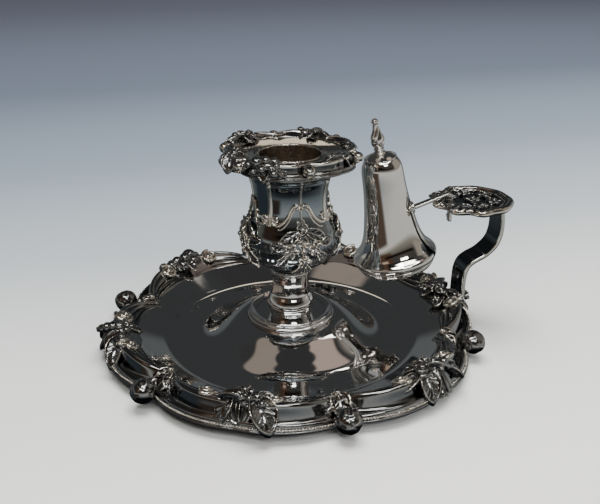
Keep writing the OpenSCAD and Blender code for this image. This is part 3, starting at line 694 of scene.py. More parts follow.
class Effects:
    """Shader groups that more than one finish uses."""

    def __init__(self) -> None:
        """Builds each group once."""
        self.hairlines = self._hairlines()
        self.tarnish = self._tarnish()
        self.recesses = self._darkened_hollows_and_painted_highlights()

    @staticmethod
    def _place(graph: Graph, scale: NodeSocket) -> NodeSocket:
        """Object coordinates in steps of the given size."""
        where = graph.add("ShaderNodeTexCoord")
        return graph.add("ShaderNodeVectorMath", {0: where.outputs["Object"], "Scale": scale},
                         operation="SCALE").outputs[0]

    @staticmethod
    def _noise(graph: Graph, where: NodeSocket, detail: float, **more: float) -> NodeSocket:
        """Noise from 0 to 1 over scaled coordinates."""
        wires = {"Vector": where, "Scale": 1.0, "Detail": detail, **more}
        return graph.add("ShaderNodeTexNoise", wires).outputs[0]

    def _hairlines(self) -> Graph:
        """Height of fine polishing scratches and shallow dents."""
        graph = Graph("hairlines", "ShaderNodeTree")
        dents = graph.takes("Dents per metre", Kind.FLOAT, 90.0)
        lines = graph.takes("Lines per metre", Kind.FLOAT, 1500.0)
        share = graph.takes("Line share", Kind.FLOAT, 0.1)
        dent = self._noise(graph, self._place(graph, dents), 2.0)
        stretched = graph.add("ShaderNodeMapping", {0: self._place(graph, lines), 3: (1.0, 0.12, 0.5)})
        line = self._noise(graph, stretched.outputs[0], 3.0)
        graph.gives("Height", Kind.FLOAT, graph.sum("MULTIPLY_ADD", line, share, dent))
        return graph

    def _tarnish(self) -> Graph:
        """Mask of cloudy patches and specks left by handling."""
        graph = Graph("tarnish", "ShaderNodeTree")
        clouds = graph.takes("Clouds per metre", Kind.FLOAT, 45.0)
        specks = graph.takes("Specks per metre", Kind.FLOAT, 900.0)
        cloud = self._noise(graph, self._place(graph, clouds), 5.0, Roughness=0.65)
        soft = graph.add("ShaderNodeMapRange", {0: cloud, 1: 0.45, 2: 0.75}, interpolation_type="SMOOTHSTEP")
        speck = self._noise(graph, self._place(graph, specks), 2.0)
        hard = graph.add("ShaderNodeMapRange", {0: speck, 1: 0.66, 2: 0.72})
        graph.gives("Mask", Kind.FLOAT, graph.sum("ADD", soft.outputs[0], hard.outputs[0], use_clamp=True))
        return graph

    def _darkened_hollows_and_painted_highlights(self) -> Graph:
        """Masks of the deep places, which are darkened, and of the proud edges, which are lightened as a
        painted highlight.
        """
        graph = Graph("recesses", "ShaderNodeTree")
        deep = graph.takes("Deep below", Kind.FLOAT, 0.42)
        proud = graph.takes("Proud above", Kind.FLOAT, 0.66)
        mask_jitter = graph.takes("Grime per metre", Kind.FLOAT, 700.0)
        relief = graph.add("ShaderNodeAttribute", attribute_name="relief")
        break_up = self._noise(graph, self._place(graph, mask_jitter), 4.0)
        shifted = graph.sum("MULTIPLY_ADD", break_up, 0.12, relief.outputs["Fac"])
        height = graph.sum("SUBTRACT", shifted, 0.06)
        # Deep darkens the hollows; Proud lightens the edges that stand out as a painted highlight
        for name, start, end in (("Deep", deep, 0.25), ("Proud", proud, 0.9)):
            mask = graph.add("ShaderNodeMapRange", {0: height, 1: start, 2: end})
            graph.gives(name, Kind.FLOAT, mask.outputs[0])
        return graph


@dataclass(frozen=True)
class Finish:
    """A polished or darkened metal, with the wear of its surface, darkened hollows and a painted highlight on
    its proud edges.
    """

    name: str
    colour: Colour
    dulled: Colour
    # deep colours the darkened hollows; proud is a painted highlight on the edges that stand out
    deep: Colour
    proud: Colour
    smooth: float
    dull: float
    tarnish: float
    dents: float
    line_share: float

    def material(self, effects: Effects) -> Material:
        """Makes the material.

        Args:
            effects: The shared shader groups.

        Returns:
            The material.
        """
        material, shader = new_material(self.name)
        tree = material.node_tree
        shader.inputs["Metallic"].default_value = 1.0
        wear = add_group(tree, effects.tarnish)
        relief = add_group(tree, effects.recesses)
        lines = add_group(tree, effects.hairlines, {"Line share": self.line_share})
        amount = add_sum(tree, "MULTIPLY", wear.outputs["Mask"], self.tarnish)
        base = add_mix(tree, amount, self.colour, self.dulled)
        # Lightens the proud edges as a painted highlight, then darkens the deep places
        bright = add_mix(tree, relief.outputs["Proud"], base, self.proud)
        full = add_mix(tree, relief.outputs["Deep"], bright, self.deep)
        tree.links.new(full, shader.inputs["Base Color"])
        worn = add_sum(tree, "MAXIMUM", relief.outputs["Deep"], amount)
        rough = add_node(tree, "ShaderNodeMapRange", {0: worn, 3: self.smooth, 4: self.dull})
        tree.links.new(rough.outputs[0], shader.inputs["Roughness"])
        wires = {"Strength": 1.0, "Distance": self.dents * MM, "Height": lines.outputs[0]}
        bump = add_node(tree, "ShaderNodeBump", wires)
        tree.links.new(bump.outputs[0], shader.inputs["Normal"])
        return material


class Look(Enum):
    """The finishes of the chamberstick. The silver is one metal, but the castings, urn, strap and thumb plate
    get darker base colours than the bell and sheet as painted shade, and the silver's proud colours are
    painted highlights.
    """

    SHEET = Finish("polished_sheet", (0.80, 0.80, 0.80), (0.62, 0.59, 0.55), (0.28, 0.27, 0.26),
                   (0.92, 0.90, 0.86), 0.05, 0.24, 0.25, 0.010, 0.05)
    # Castings: base colour darkened as painted shade, with a cream painted highlight on proud edges
    CAST = Finish("cast_silver", (0.33, 0.335, 0.34), (0.18, 0.175, 0.17), (0.020, 0.019, 0.018),
                  (0.97, 0.92, 0.83), 0.10, 0.36, 0.30, 0.020, 0.12)
    BELL = Finish("bell_silver", (0.93, 0.90, 0.87), (0.70, 0.64, 0.58), (0.30, 0.26, 0.22),
                  (0.97, 0.94, 0.90), 0.05, 0.20, 0.25, 0.014, 0.06)
    # Urn: base colour darkened and tinted blue-grey as painted shade and painted reflection
    URN = Finish("toned_silver", (0.32, 0.36, 0.39), (0.20, 0.20, 0.19), (0.04, 0.04, 0.04),
                 (0.80, 0.78, 0.72), 0.07, 0.26, 0.35, 0.012, 0.06)
    # Strap and thumb plate: base colour nearly black as painted shade
    STRAP = Finish("dark_silver", (0.13, 0.15, 0.17), (0.10, 0.10, 0.10), (0.03, 0.03, 0.03),
                   (0.90, 0.87, 0.80), 0.07, 0.28, 0.35, 0.012, 0.08)
    BORE = Finish("candle_tube", (0.60, 0.53, 0.46), (0.15, 0.12, 0.10), (0.05, 0.04, 0.03),
                  (0.80, 0.72, 0.62), 0.20, 0.50, 0.85, 0.050, 0.30)
    PAN = Finish("drip_pan_silver", (0.62, 0.60, 0.57), (0.34, 0.31, 0.27), (0.20, 0.18, 0.16),
                 (0.80, 0.78, 0.74), 0.06, 0.25, 0.35, 0.012, 0.06)
    FITTING = Finish("dull_brass", (0.55, 0.40, 0.20), (0.22, 0.16, 0.09), (0.08, 0.06, 0.03),
                     (0.70, 0.52, 0.28), 0.30, 0.55, 0.60, 0.040, 0.30)


# Ornament


@dataclass(frozen=True)
class Leaf:
    """A cast leaf that lies along +X, hollow within a raised rim, with a midrib and veins."""

    length: float
    width: float
    droop: float = 4.0
    cup: float = 0.8
    veins: float = 6.0
    sway: float = 0.0
    thick: float = 1.6
    blunt: float = 0.55
    rim: float = 0.45
    flutes: int = 0
    grid: tuple[int, int] = (48, 31)

    def form(self) -> Form:
        """Builds the leaf as a closed form."""
        along = np.sin(np.linspace(0, math.pi / 2, self.grid[0]))[:, None]
        across = np.linspace(-1, 1, self.grid[1])[None, :]
        far = np.clip((along - 0.42) / 0.58, 0, 1)
        half = self.width / 2 * (0.35 + 0.65 * np.sin(math.pi / 2 * np.minimum(along / 0.5, 1)))
        half = half * np.maximum(1 - far ** 2, 0.0005) ** self.blunt
        side = np.abs(across)
        outline = (side ** 5 + far ** 5) ** 0.2
        inside = smoothstep(0.84, 0.6, outline)
        rim = self.rim * np.exp(-((outline - 0.9) / 0.09) ** 2) * smoothstep(0, 0.2, along)
        midrib = 0.34 * np.exp(-(half * across / 0.4) ** 2) * inside
        if self.flutes:
            lines = 0.3 * np.cos(2 * math.pi * self.flutes * across)
        else:
            vein = 0.17 * np.sin(2 * math.pi * self.veins * (along - 0.3 * side))
            lines = vein * smoothstep(0.1, 0.3, side)
        z = self.cup * side ** 2 * np.sin(math.pi * np.minimum(along + 0.12, 0.96)) + rim + midrib
        z = z + lines * inside * smoothstep(0, 0.2, along) - self.droop * along ** 2
        y = half * across + self.sway * along ** 2
        return Form.sheet(np.stack(np.broadcast_arrays(self.length * along, y, z), -1), self.thick)


@dataclass(frozen=True)
class Shell:
    """A fan of hollow flutes that spreads from the origin towards +X."""

    reach: float
    spread: float = 84.0
    flutes: int = 7
    deep: float = 0.7
    crown: float = 1.6
    droop: float = 4.5
    thick: float = 1.6

    def form(self) -> Form:
        """Builds the shell as a closed form."""
        along = np.linspace(0.08, 1, 36)[:, None]
        across = np.linspace(-1, 1, self.flutes * 14 + 1)[None, :]
        turn = np.radians(self.spread) * across
        wave = np.abs(np.sin(math.pi * self.flutes * (across + 1) / 2)) ** 0.7
        reach = self.reach * along * (0.82 + 0.18 * wave * smoothstep(0.5, 1, along))
        lip = 0.3 * smoothstep(0.86, 0.97, along)
        z = self.crown * np.sin(math.pi * along ** 0.7) + self.deep * wave * along
        z = z - self.droop * along ** 2 + lip
        return Form.sheet(polar(reach, turn, z), self.thick)


@dataclass(frozen=True)
class Volute:
    """A scroll's rolled end: a bead that winds in to a round eye."""

    radius: float
    bead: float
    turns: float = 1.6
    hand: int = 1
    start: float = 0.0
    rise: float = 0.8

    def form(self) -> Form:
        """Builds the volute as closed forms in the XY plane."""
        t = np.linspace(0, 1, int(40 * self.turns))
        angle = math.radians(self.start) + self.hand * 2 * math.pi * self.turns * t
        radius = self.radius * (1 - 0.78 * t)
        path = polar(radius, angle, self.rise * t)
        bead = self.bead * (1 - 0.35 * t)
        eye = Form.ball(self.bead * 1.15, path[-1] * (0.2, 0.2, 1.0), 12)
        return Form.joined([Form.tube(path, bead), eye])


PETALS = 5


def knobs(*places: tuple[float, float, float, float]) -> list[Form]:
    """Plain balls, each from its radius and its middle."""
    return [Form.ball(radius, middle) for radius, *middle in places]


class Blossoms:
    """Rosettes and fruit, whose petals are set out by the ring tree."""

    def __init__(self, repeats: Repeats) -> None:
        """Keeps the trees that set out petals."""
        self.repeats = repeats
        self.made: dict[float, Form] = {}

    def rosette(self, radius: float) -> Form:
        """A flower of a radius over its petals, which faces +Z; each size is made once."""
        if radius not in self.made:
            self.made[radius] = self._rosette(radius)
        return self.made[radius]

    def _rosette(self, radius: float) -> Form:
        """Sets cupped petals round a grained heart."""

        def cupped(down: Array, round_z: Array) -> Array:
            """Hollows the petal's upper side and notches its tip."""
            hollow = 0.3 * np.exp(-(down / 0.75) ** 2)
            notch = 0.12 * np.exp(-(round_z - np.pi * 2 * np.round(round_z / (2 * np.pi))) ** 2 / 0.05)
            return 1 - hollow - notch * np.sin(down)

        def grained(down: Array, round_z: Array) -> Array:
            """Covers the heart with small seeds."""
            return 1 + 0.1 * np.sin(9 * round_z) * np.sin(7 * down)

        width = math.sin(math.pi / PETALS) * radius * 1.02
        petal = Form.ball(1.0, (0, 0, 0), 14, cupped)
        petal.points *= (radius * 0.42, width * 0.5, radius * 0.3)
        petal = petal.at(radius * 0.6, 0, radius * 0.12, 0, -14)
        seed = scene_object("petal", petal.mesh("petal"))
        values = {"Piece": seed, "Count": PETALS, "First turn": 0.2}
        ring = self.repeats.grown("petals", self.repeats.ring, values)
        petals = Form.of_mesh(ring.data)
        discard(ring)
        discard(seed)
        return Form.joined([petals, Form.ball(radius * 0.3, (0, 0, radius * 0.28), 20, grained)])

    @staticmethod
    def fruit(places: Sequence[tuple[float, float, float, float]]) -> Form:
        """Grapes, each with a small dimple where its bloom was."""

        def dimpled(down: Array, round_z: Array) -> Array:
            """Sinks a dimple at the top."""
            return (1 - 0.1 * np.exp(-(down / 0.3) ** 2)) * np.ones_like(round_z)

        return Form.joined([Form.ball(r, (x, y, z), 18, dimpled) for x, y, z, r in places])


@dataclass
class Ornaments:
    """Groups of leaves, shells and fruit, each round an origin on a border's ridge with +X outwards."""

    blossoms: Blossoms

    def leaves(self) -> list[Form]:
        """Three broad leaves that fall over the lip, below a scoop leaf, a flower and knobs."""
        return [
            Leaf(9.8, 9.4, 5.0, 0.9, flutes=2, thick=2.0).form().at(-0.8, 1.0, 1.9, 4, 28),
            Leaf(12.4, 10.2, 5.2, 1.4, 8, thick=2.0, blunt=0.62, rim=0.7).form().at(0.4, 5.6, 2.0, 48, 22),
            Leaf(9.6, 7.0, 4.6, 0.9, 5, thick=1.8).form().at(-0.6, -2.2, 1.4, -30, 26),
            Leaf(11.6, 5.2, 1.0, 1.9, 3, -0.8, 1.6, 0.7, 0.6).form().at(1.8, 3.2, 1.9, -98, 2, 16),
            Leaf(9.0, 5.6, 2.4, 0.9, 5, 0.8).form().at(-1.4, 5.0, 1.2, 96, 6),
            Leaf(6.5, 4.8, 2.4, 0.8, 4, 0.3).form().at(-1.5, 0.5, 1.0, 176, -4),
            Leaf(6.2, 4.0, 2.6, 0.8, 4, -0.5).form().at(-1.4, -2.2, 0.8, 216, -4),
            self.blossoms.rosette(2.9).at(-1.4, 2.0, 2.5, 10, 8),
            *knobs((2.1, 0.2, 6.4, 1.9), (1.5, 2.2, 8.6, 1.0), (1.3, 1.8, 4.2, 2.2), (1.2, 2.0, 1.4, 2.0),
                   (1.0, -3.6, 5.0, 0.6), (2.8, -0.4, 2.0, -0.4)),
        ]

    def shell(self) -> list[Form]:
        """A fluted shell over the lip with a volute, acanthus folds and an almond leaf."""
        return [
            Shell(10.8, 58, 7, 0.9, 1.5, 6.4, 1.8).form().at(-0.4, 2.6, 1.0, 20, 18),
            Volute(3.1, 0.85, 1.7, 1, -60, 1.4).form().at(0.2, -3.4, 1.4, 0, 8),
            Leaf(10.4, 5.2, 1.2, 1.9, 3, 1.0, 1.6, 0.7, 0.6).form().at(-1.2, -0.6, 1.8, 52, 2, -12),
            Leaf(10.6, 8.4, 4.8, 1.4, 7, -0.8, 2.0, 0.66, 0.6).form().at(0.6, -3.0, 1.0, -14, 26),
            Leaf(13.0, 6.8, 4.4, 1.2, 8, 1.0, 1.8, 0.7).form().at(0.2, 5.2, 1.2, 56, 16),
            Leaf(11.4, 5.6, 3.6, 1.0, 7, 1.2, 1.6, 0.7).form().at(-0.8, 6.6, 1.0, 80, 12),
            Leaf(9.6, 5.0, 2.2, 1.0, 5, -1.0).form().at(0.2, -5.0, 0.9, -84, 8),
            Leaf(6.8, 5.0, 2.4, 0.9, 4, 0.5).form().at(-1.2, 1.4, 1.0, 168, -2),
            Leaf(6.4, 4.2, 2.4, 0.8, 4, 0.5).form().at(-1.2, -2.0, 0.9, 212, -2),
            *knobs((1.9, 2.1, 6.2, 1.7), (1.3, -0.6, 3.8, 1.9), (1.1, 3.9, 2.6, 1.2)),
            self.blossoms.rosette(2.4).at(-2.2, 1.2, 2.0, 0, 6), *knobs((2.6, -0.2, 0.8, -0.4)),
        ]

    def rolls(self) -> list[Form]:
        """Striped rolls on top, with two rimmed oval leaves that hang over the lip."""
        stripe = np.linspace(0, 1, 48)
        path = np.stack([-2.0 + 10.6 * stripe, 0.2 - 4.0 * stripe, 1.9 - 2.2 * stripe ** 2], -1)
        roll = Form.tube(path, 1.9 * np.sin(np.pi * (0.1 + 0.8 * stripe)) ** 0.5
                         * (1 + 0.09 * np.sin(2 * np.pi * 5 * stripe)), 24)
        return [
            roll,
            Leaf(10.2, 8.0, 4.8, 1.5, 5, 0.6, 2.0, 0.6, 0.6).form().at(0.2, 3.0, 1.0, 20, 26),
            Leaf(12.4, 7.4, 4.6, 1.4, 7, 0.8, 1.9, 0.62, 0.6).form().at(0.0, 6.0, 1.0, 52, 18),
            Leaf(11.2, 7.6, 4.6, 1.2, 7, -0.6, 1.9, 0.62, 0.6).form().at(0.6, -1.8, 0.6, -8, 26),
            Leaf(12.0, 7.4, 4.4, 1.3, 7, -0.8, 1.9, 0.62, 0.6).form().at(0.4, -4.4, 0.8, -40, 20),
            Leaf(10.0, 5.0, 1.8, 1.2, 5, -1.0).form().at(-0.8, -4.4, 1.0, -82, 6),
            Leaf(6.4, 5.0, 2.4, 0.9, 4).form().at(-1.4, 0.8, 1.0, 184, -2),
            Volute(3.0, 0.8, 1.7, -1, 60, 1.3).form().at(0.4, 9.6, 1.4, 0, 6),
            *knobs((1.5, -1.8, 3.4, 1.8), (1.2, -2.2, -2.6, 1.5), (2.6, -0.2, 0.2, -0.4)),
            self.blossoms.rosette(2.2).at(-2.4, 0.6, 1.8, 20, -8),
        ]

    def grapes(self) -> list[Form]:
        """A bunch of grapes with two leaves."""
        return [
            self.blossoms.fruit([(-2.4, 3.5, 0.1, 2.8), (3.1, -3.8, 0.9, 3.2), (4.6, 4.7, -1.1, 2.1),
                                 (7.2, 7.2, -3.0, 2.3), (0.8, 0.2, 1.6, 2.6), (-1.9, -2.6, 0.6, 2.3),
                                 (6.4, 0.4, -1.6, 2.4), (7.8, -3.6, -2.6, 1.9), (2.0, 6.6, -0.3, 2.0),
                                 (3.9, -8.0, -0.4, 1.9)]),
            Leaf(10.0, 7.0, 3.4, 1.2, 5, 0.8, 1.2).form().at(0.6, 3.6, 0.2, 66, 10),
            Leaf(10.0, 7.0, 3.4, 1.2, 5, -0.8, 1.2).form().at(0.6, -3.6, 0.2, -66, 10),
            Leaf(8.4, 6.4, 4.6, 1.2, 5, 0.0, 1.2).form().at(1.6, 0.6, -0.4, 4, 24),
            Leaf(6.0, 4.4, 2.2, 0.9, 4, 0, 1.1).form().at(-1.6, 0.6, 0.6, 180, -2), *knobs((2.6, 0, 0, -0.6)),
        ]

    def berries(self) -> list[Form]:
        """Berries and leaves, half hidden behind the socket."""
        return [
            self.blossoms.fruit([(0.2, 0, 0.9, 2.6), (-1.8, 3.0, 0.3, 2.1), (-1.6, -3.2, 0.4, 2.2),
                                 (3.4, 2.4, -0.4, 2.0), (3.2, -2.6, -0.3, 2.0)]),
            Shell(9.6, 56, 6, 0.7, 1.2, 4.4, 1.4).form().at(0.8, 0, 0.0, 0, 16),
            Leaf(11.0, 6.6, 3.4, 1.3, 6, 0.8, 1.2).form().at(0.4, 3.4, 0.5, 62, 12),
            Leaf(11.0, 6.6, 3.4, 1.3, 6, -0.8, 1.2).form().at(0.4, -3.4, 0.5, -62, 12),
            Leaf(6.2, 4.6, 2.2, 0.9, 4, 0, 1.1).form().at(-1.4, 0.4, 0.6, 180, -2), *knobs((2.4, 0, 0, -0.6)),
        ]

    def flowers(self) -> list[Form]:
        """A hooded leaf, a volute and small flowers on the tray's side of the strap."""
        return [
            Leaf(11.6, 6.8, 1.8, 2.2, 5, 1.0, 1.4, 0.8).form().at(-1.4, 1.8, 1.5, 78, 2, 16),
            Leaf(11.0, 6.0, 2.4, 1.4, 6, -1.0, 1.3, 0.8).form().at(-0.8, -2.2, 1.0, -74, 6),
            Volute(2.3, 0.75, 1.5, -1, 60, 1.0).form().at(-3.2, -3.6, 1.3, 0, -6),
            Leaf(8.2, 4.4, 1.6, 1.0, 5, -0.8, 1.2).form().at(-2.4, -2.8, 0.2, -126, 10),
            Leaf(9.2, 5.0, 2.6, 1.0, 5, 0.8, 1.2).form().at(-2.4, 3.0, 0.2, 124, -2),
            Leaf(6.6, 5.0, 2.6, 0.9, 4, 0, 1.2).form().at(-3.4, 0.2, 0.4, 180, -8),
            Leaf(8.6, 4.0, 3.2, 0.9, 5, -0.6, 1.2).form().at(0.6, -5.6, 0.3, -40, 12),
            Leaf(8.6, 4.0, 3.2, 0.9, 5, 0.6, 1.2).form().at(0.6, 5.6, 0.3, 40, 12),
            self.blossoms.rosette(2.5).at(-4.6, 0.6, 1.6, 0, -12),
            self.blossoms.rosette(2.0).at(-6.2, 5.6, -0.6, 20, -16),
            self.blossoms.rosette(1.9).at(-6.4, -5.6, -0.8, 50, -16),
            *knobs((1.3, -2.4, 3.7, 1.9), (1.1, -1.2, -1.0, 2.2), (2.4, -1.0, 0, -0.6)),
        ]


# Sub-assemblies


@dataclass
class SubAssembly:
    """Pieces that are made together, with what they need to be dressed."""

    repeats: Repeats
    blossoms: Blossoms
    paints: dict[Look, Material]
    body: str = "base"

    def settle(self, name: str, shape: Mesh | Object | Form, *nodes: str,
               look: Look = Look.CAST, reach: float = 0.9, depth: float = 0.16) -> None:
        """Finishes a piece: its material, the body it rides on and the nodes it stands for.

        Args:
            name: Name of the piece.
            shape: The piece as a form, a mesh or an object.
            nodes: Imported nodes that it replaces.
            look: Its finish.
            reach: Width that its relief is measured over, in millimetres.
            depth: Height that counts as fully proud, in millimetres.
        """
        if isinstance(shape, Form):
            shape = shape.mesh(name)
        piece = shape if isinstance(shape, Object) else scene_object(name, shape)
        mesh = piece.data
        mesh.materials.clear()
        mesh.materials.append(self.paints[look])
        mesh.polygons.foreach_set("material_index", [0] * len(mesh.polygons))
        mark_relief(mesh, reach, depth)
        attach(piece, self.body)
        if nodes:
            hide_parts(*nodes)
        log.info("%s: %d faces on %s", name, len(mesh.polygons), self.body)

    def around(self, name: str, form: Form, count: int, first: float, *nodes: str, **relief: float) -> None:
        """Sets out copies of a casting about the axis and settles them as one piece.

        Args:
            name: Name of the new piece.
            form: The form at turn 0.
            count: Number of copies.
            first: Turn of the first copy, in degrees.
            nodes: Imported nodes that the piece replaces.
            relief: Reach and depth of the relief, as settle takes them.
        """
        seed = scene_object(name + "_seed", form.mesh(name + "_seed"))
        piece = self.repeats.grown(name, self.repeats.ring, {
            "Piece": seed, "Count": count, "First turn": math.radians(first)})
        discard(seed)
        self.settle(name, piece, *nodes, **relief)

    def along(self, name: str, tree: Graph, path: Array, radius: float, closed: bool = True,
              radii: Array | None = None, **values: float) -> Object:
        """Grows a piece along a path.

        Args:
            name: Name of the new piece.
            tree: The tree that grows it.
            path: Points in millimetres.
            radius: Radius of the wire or of the largest bead, in millimetres.
            closed: Whether the path is a loop.
            radii: Share of the full thickness at each point.
            values: Values for the tree's other inputs.

        Returns:
            The piece as a plain mesh.
        """
        guide = path_object(name + "_path", path, closed, radii)
        piece = self.repeats.grown(name, tree, {"Path": guide, "Radius": radius * MM, **values})
        discard(guide)
        return piece


@dataclass(frozen=True)
class ScrollOutline:
    """An outline of scrolls in pairs, as the tray's and the nozzle's borders have."""

    widest: float
    arc: float
    turn: float = math.radians(8.2)
    lobes: int = 6

    @property
    def half(self) -> float:
        """Half the angle of a lobe."""
        return math.pi / self.lobes

    def fold(self, angle: Array) -> Array:
        """Angle from the middle of the nearest lobe."""
        return off_middle(np.asarray(angle), self.half)

    def radius(self, angle: Array) -> Array:
        """Radius of the outline at each angle, in radians."""
        d = self.fold(angle) - self.turn
        c = self.widest - self.arc
        return c * np.cos(d) + np.sqrt(self.arc ** 2 - (c * np.sin(d)) ** 2)


@dataclass(frozen=True)
class ScrollBorder:
    """A cast border of scrolls: a reeded inner band, a ridge, a cove, a second bead and a lip."""

    ridge: ScrollOutline
    lip: ScrollOutline
    ridge_r: float
    lip_z: float
    sheet: float
    base: Callable[[Array], Array]
    reeds: int
    band: float
    band_least: float
    reed_deep: float
    steps: int = 960

    def angles(self) -> Array:
        """Angles round the border."""
        return circle(self.steps)

    def at(self, angle: Array, share: float) -> Array:
        """Radius at a share of the way from the ridge to the lip."""
        inner, outer = self.ridge.radius(angle), self.lip.radius(angle)
        return inner + share * (outer - inner)

    def drop(self, angle: Array, share: float) -> Array:
        """Height at a share of the drop from the ridge's base to the lip."""
        top = self.base(self.ridge.radius(angle))
        return top - share * (top - self.lip_z)

    def form(self) -> Form:
        """Builds the whole border as one closed ring."""
        a = self.angles()
        ridge = self.ridge.radius(a)
        top = self.base(ridge)
        spread = self.ridge.fold(a) / self.ridge.half
        width = self.band_least + (self.band - self.band_least) * smoothstep(1.0, 0.45, spread)
        deep = self.reed_deep * smoothstep(0.22, 0.6, spread)
        k = self.ridge_r
        inner = [(ridge - width * s, self.base(ridge - width * s) + lift * k)
                 for s, lift in ((1.0, -0.25), (0.97, 0.02), (0.8, 0.1), (0.6, 0.2), (0.42, 0.34))]
        crest = [(ridge + k * x, top + k * z)
                 for x, z in ((-0.92, 0.45), (-0.55, 0.9), (0, 1.05), (0.5, 0.85), (0.88, 0.3))]
        face = [(self.at(a, s), self.drop(a, d)) for s, d in (
            (0.27, 0.3), (0.33, 0.56), (0.45, 0.7), (0.57, 0.72), (0.64, 0.6), (0.71, 0.545), (0.79, 0.6),
            (0.85, 0.76), (0.92, 0.82), (0.99, 0.86), (1.0, 0.95), (0.97, 1.0))]
        under = [(self.at(a, s), self.drop(a, d)) for s, d in ((0.8, 1.0), (0.55, 0.92), (0.3, 0.65))]
        under += [(ridge, top - self.sheet), (ridge - width, self.base(ridge - width) - self.sheet * 0.4)]
        profile = np.stack([np.stack(pair, -1) for pair in inner + crest + face + under], axis=1)
        steps = 3
        dense = spline(profile, steps, closed=True)
        r, z = dense[..., 0], dense[..., 1]
        q = np.clip((r - (ridge - width)[:, None]) / (width - k * 0.9)[:, None], 0, 1)
        shown = (np.arange(r.shape[1]) < steps * (len(inner) + 1))[None, :]
        reed = np.abs(np.sin(math.pi * self.reeds * q)) ** 0.6 * smoothstep(0, 0.2, q)
        z = z + shown * deep[:, None] * (reed - 0.35 * smoothstep(0.1, 0.3, q))
        return Form.lattice(polar(r, a[:, None], z), Ends.CLOSED)


# Tray and its border


@dataclass(frozen=True)
class TrayShape:
    """Lengths of the tray, in millimetres, as packed."""

    boss: float = 17.6
    boss_h: float = 10.0
    slope: float = 38.0
    flat: float = 46.0
    bend: float = 4.0
    sheet: float = 1.2
    rise: float = 0.5
    stud: float = 2.46

    def top(self, radius: Array) -> Array:
        """Height of the sheet's upper face at a radius."""
        r = np.asarray(radius, float)
        share = np.clip((r - self.boss) / (self.slope - self.boss), 0, 1)
        swell = self.sheet + (self.boss_h - self.sheet) * (1 + np.cos(np.pi * share)) / 2
        bend = np.clip(r - self.flat, 0, self.bend)
        rim = self.rise * (bend ** 2 / (2 * self.bend) + np.maximum(r - self.flat - self.bend, 0))
        return swell + rim


TRAY = TrayShape()
RIDGE = ScrollOutline(67.2, 24.5)
LIP = ScrollOutline(72.8, 40.0)
CLUSTER_R = float(RIDGE.radius(0.0))
CLUSTER_Z = float(TRAY.top(CLUSTER_R)) + 1.35


def on_rim(turn: float, radius: float, lift: float) -> Matrix:
    """A place on the rising rim, with +X up the slope outwards and +Z square to it."""
    return (turned(turn, "Z") @ spot(radius, 0, float(TRAY.top(radius)))
            @ Matrix.Rotation(-math.atan(TRAY.rise), 4, "Y") @ spot(0, 0, lift))


@dataclass
class Tray(SubAssembly):
    """The polished sheet that catches the wax."""

    def build(self) -> None:
        """Makes the sheet, with its raised middle and scrolled edge."""
        angles = circle(384)[:, None]
        share = np.concatenate([np.linspace(0, 0.8, 90), np.linspace(0.8, 1, 14)[1:]])[None, :]
        edge = RIDGE.radius(angles) + 0.1
        radius = TRAY.stud + (edge - TRAY.stud) * share
        upper = polar(radius, angles, TRAY.top(radius))
        few = radius[:, ::-3]
        lower = polar(few, angles, TRAY.top(few) - TRAY.sheet)
        self.settle("tray_sheet", Form.wrapped(upper, lower), "tray", look=Look.SHEET)


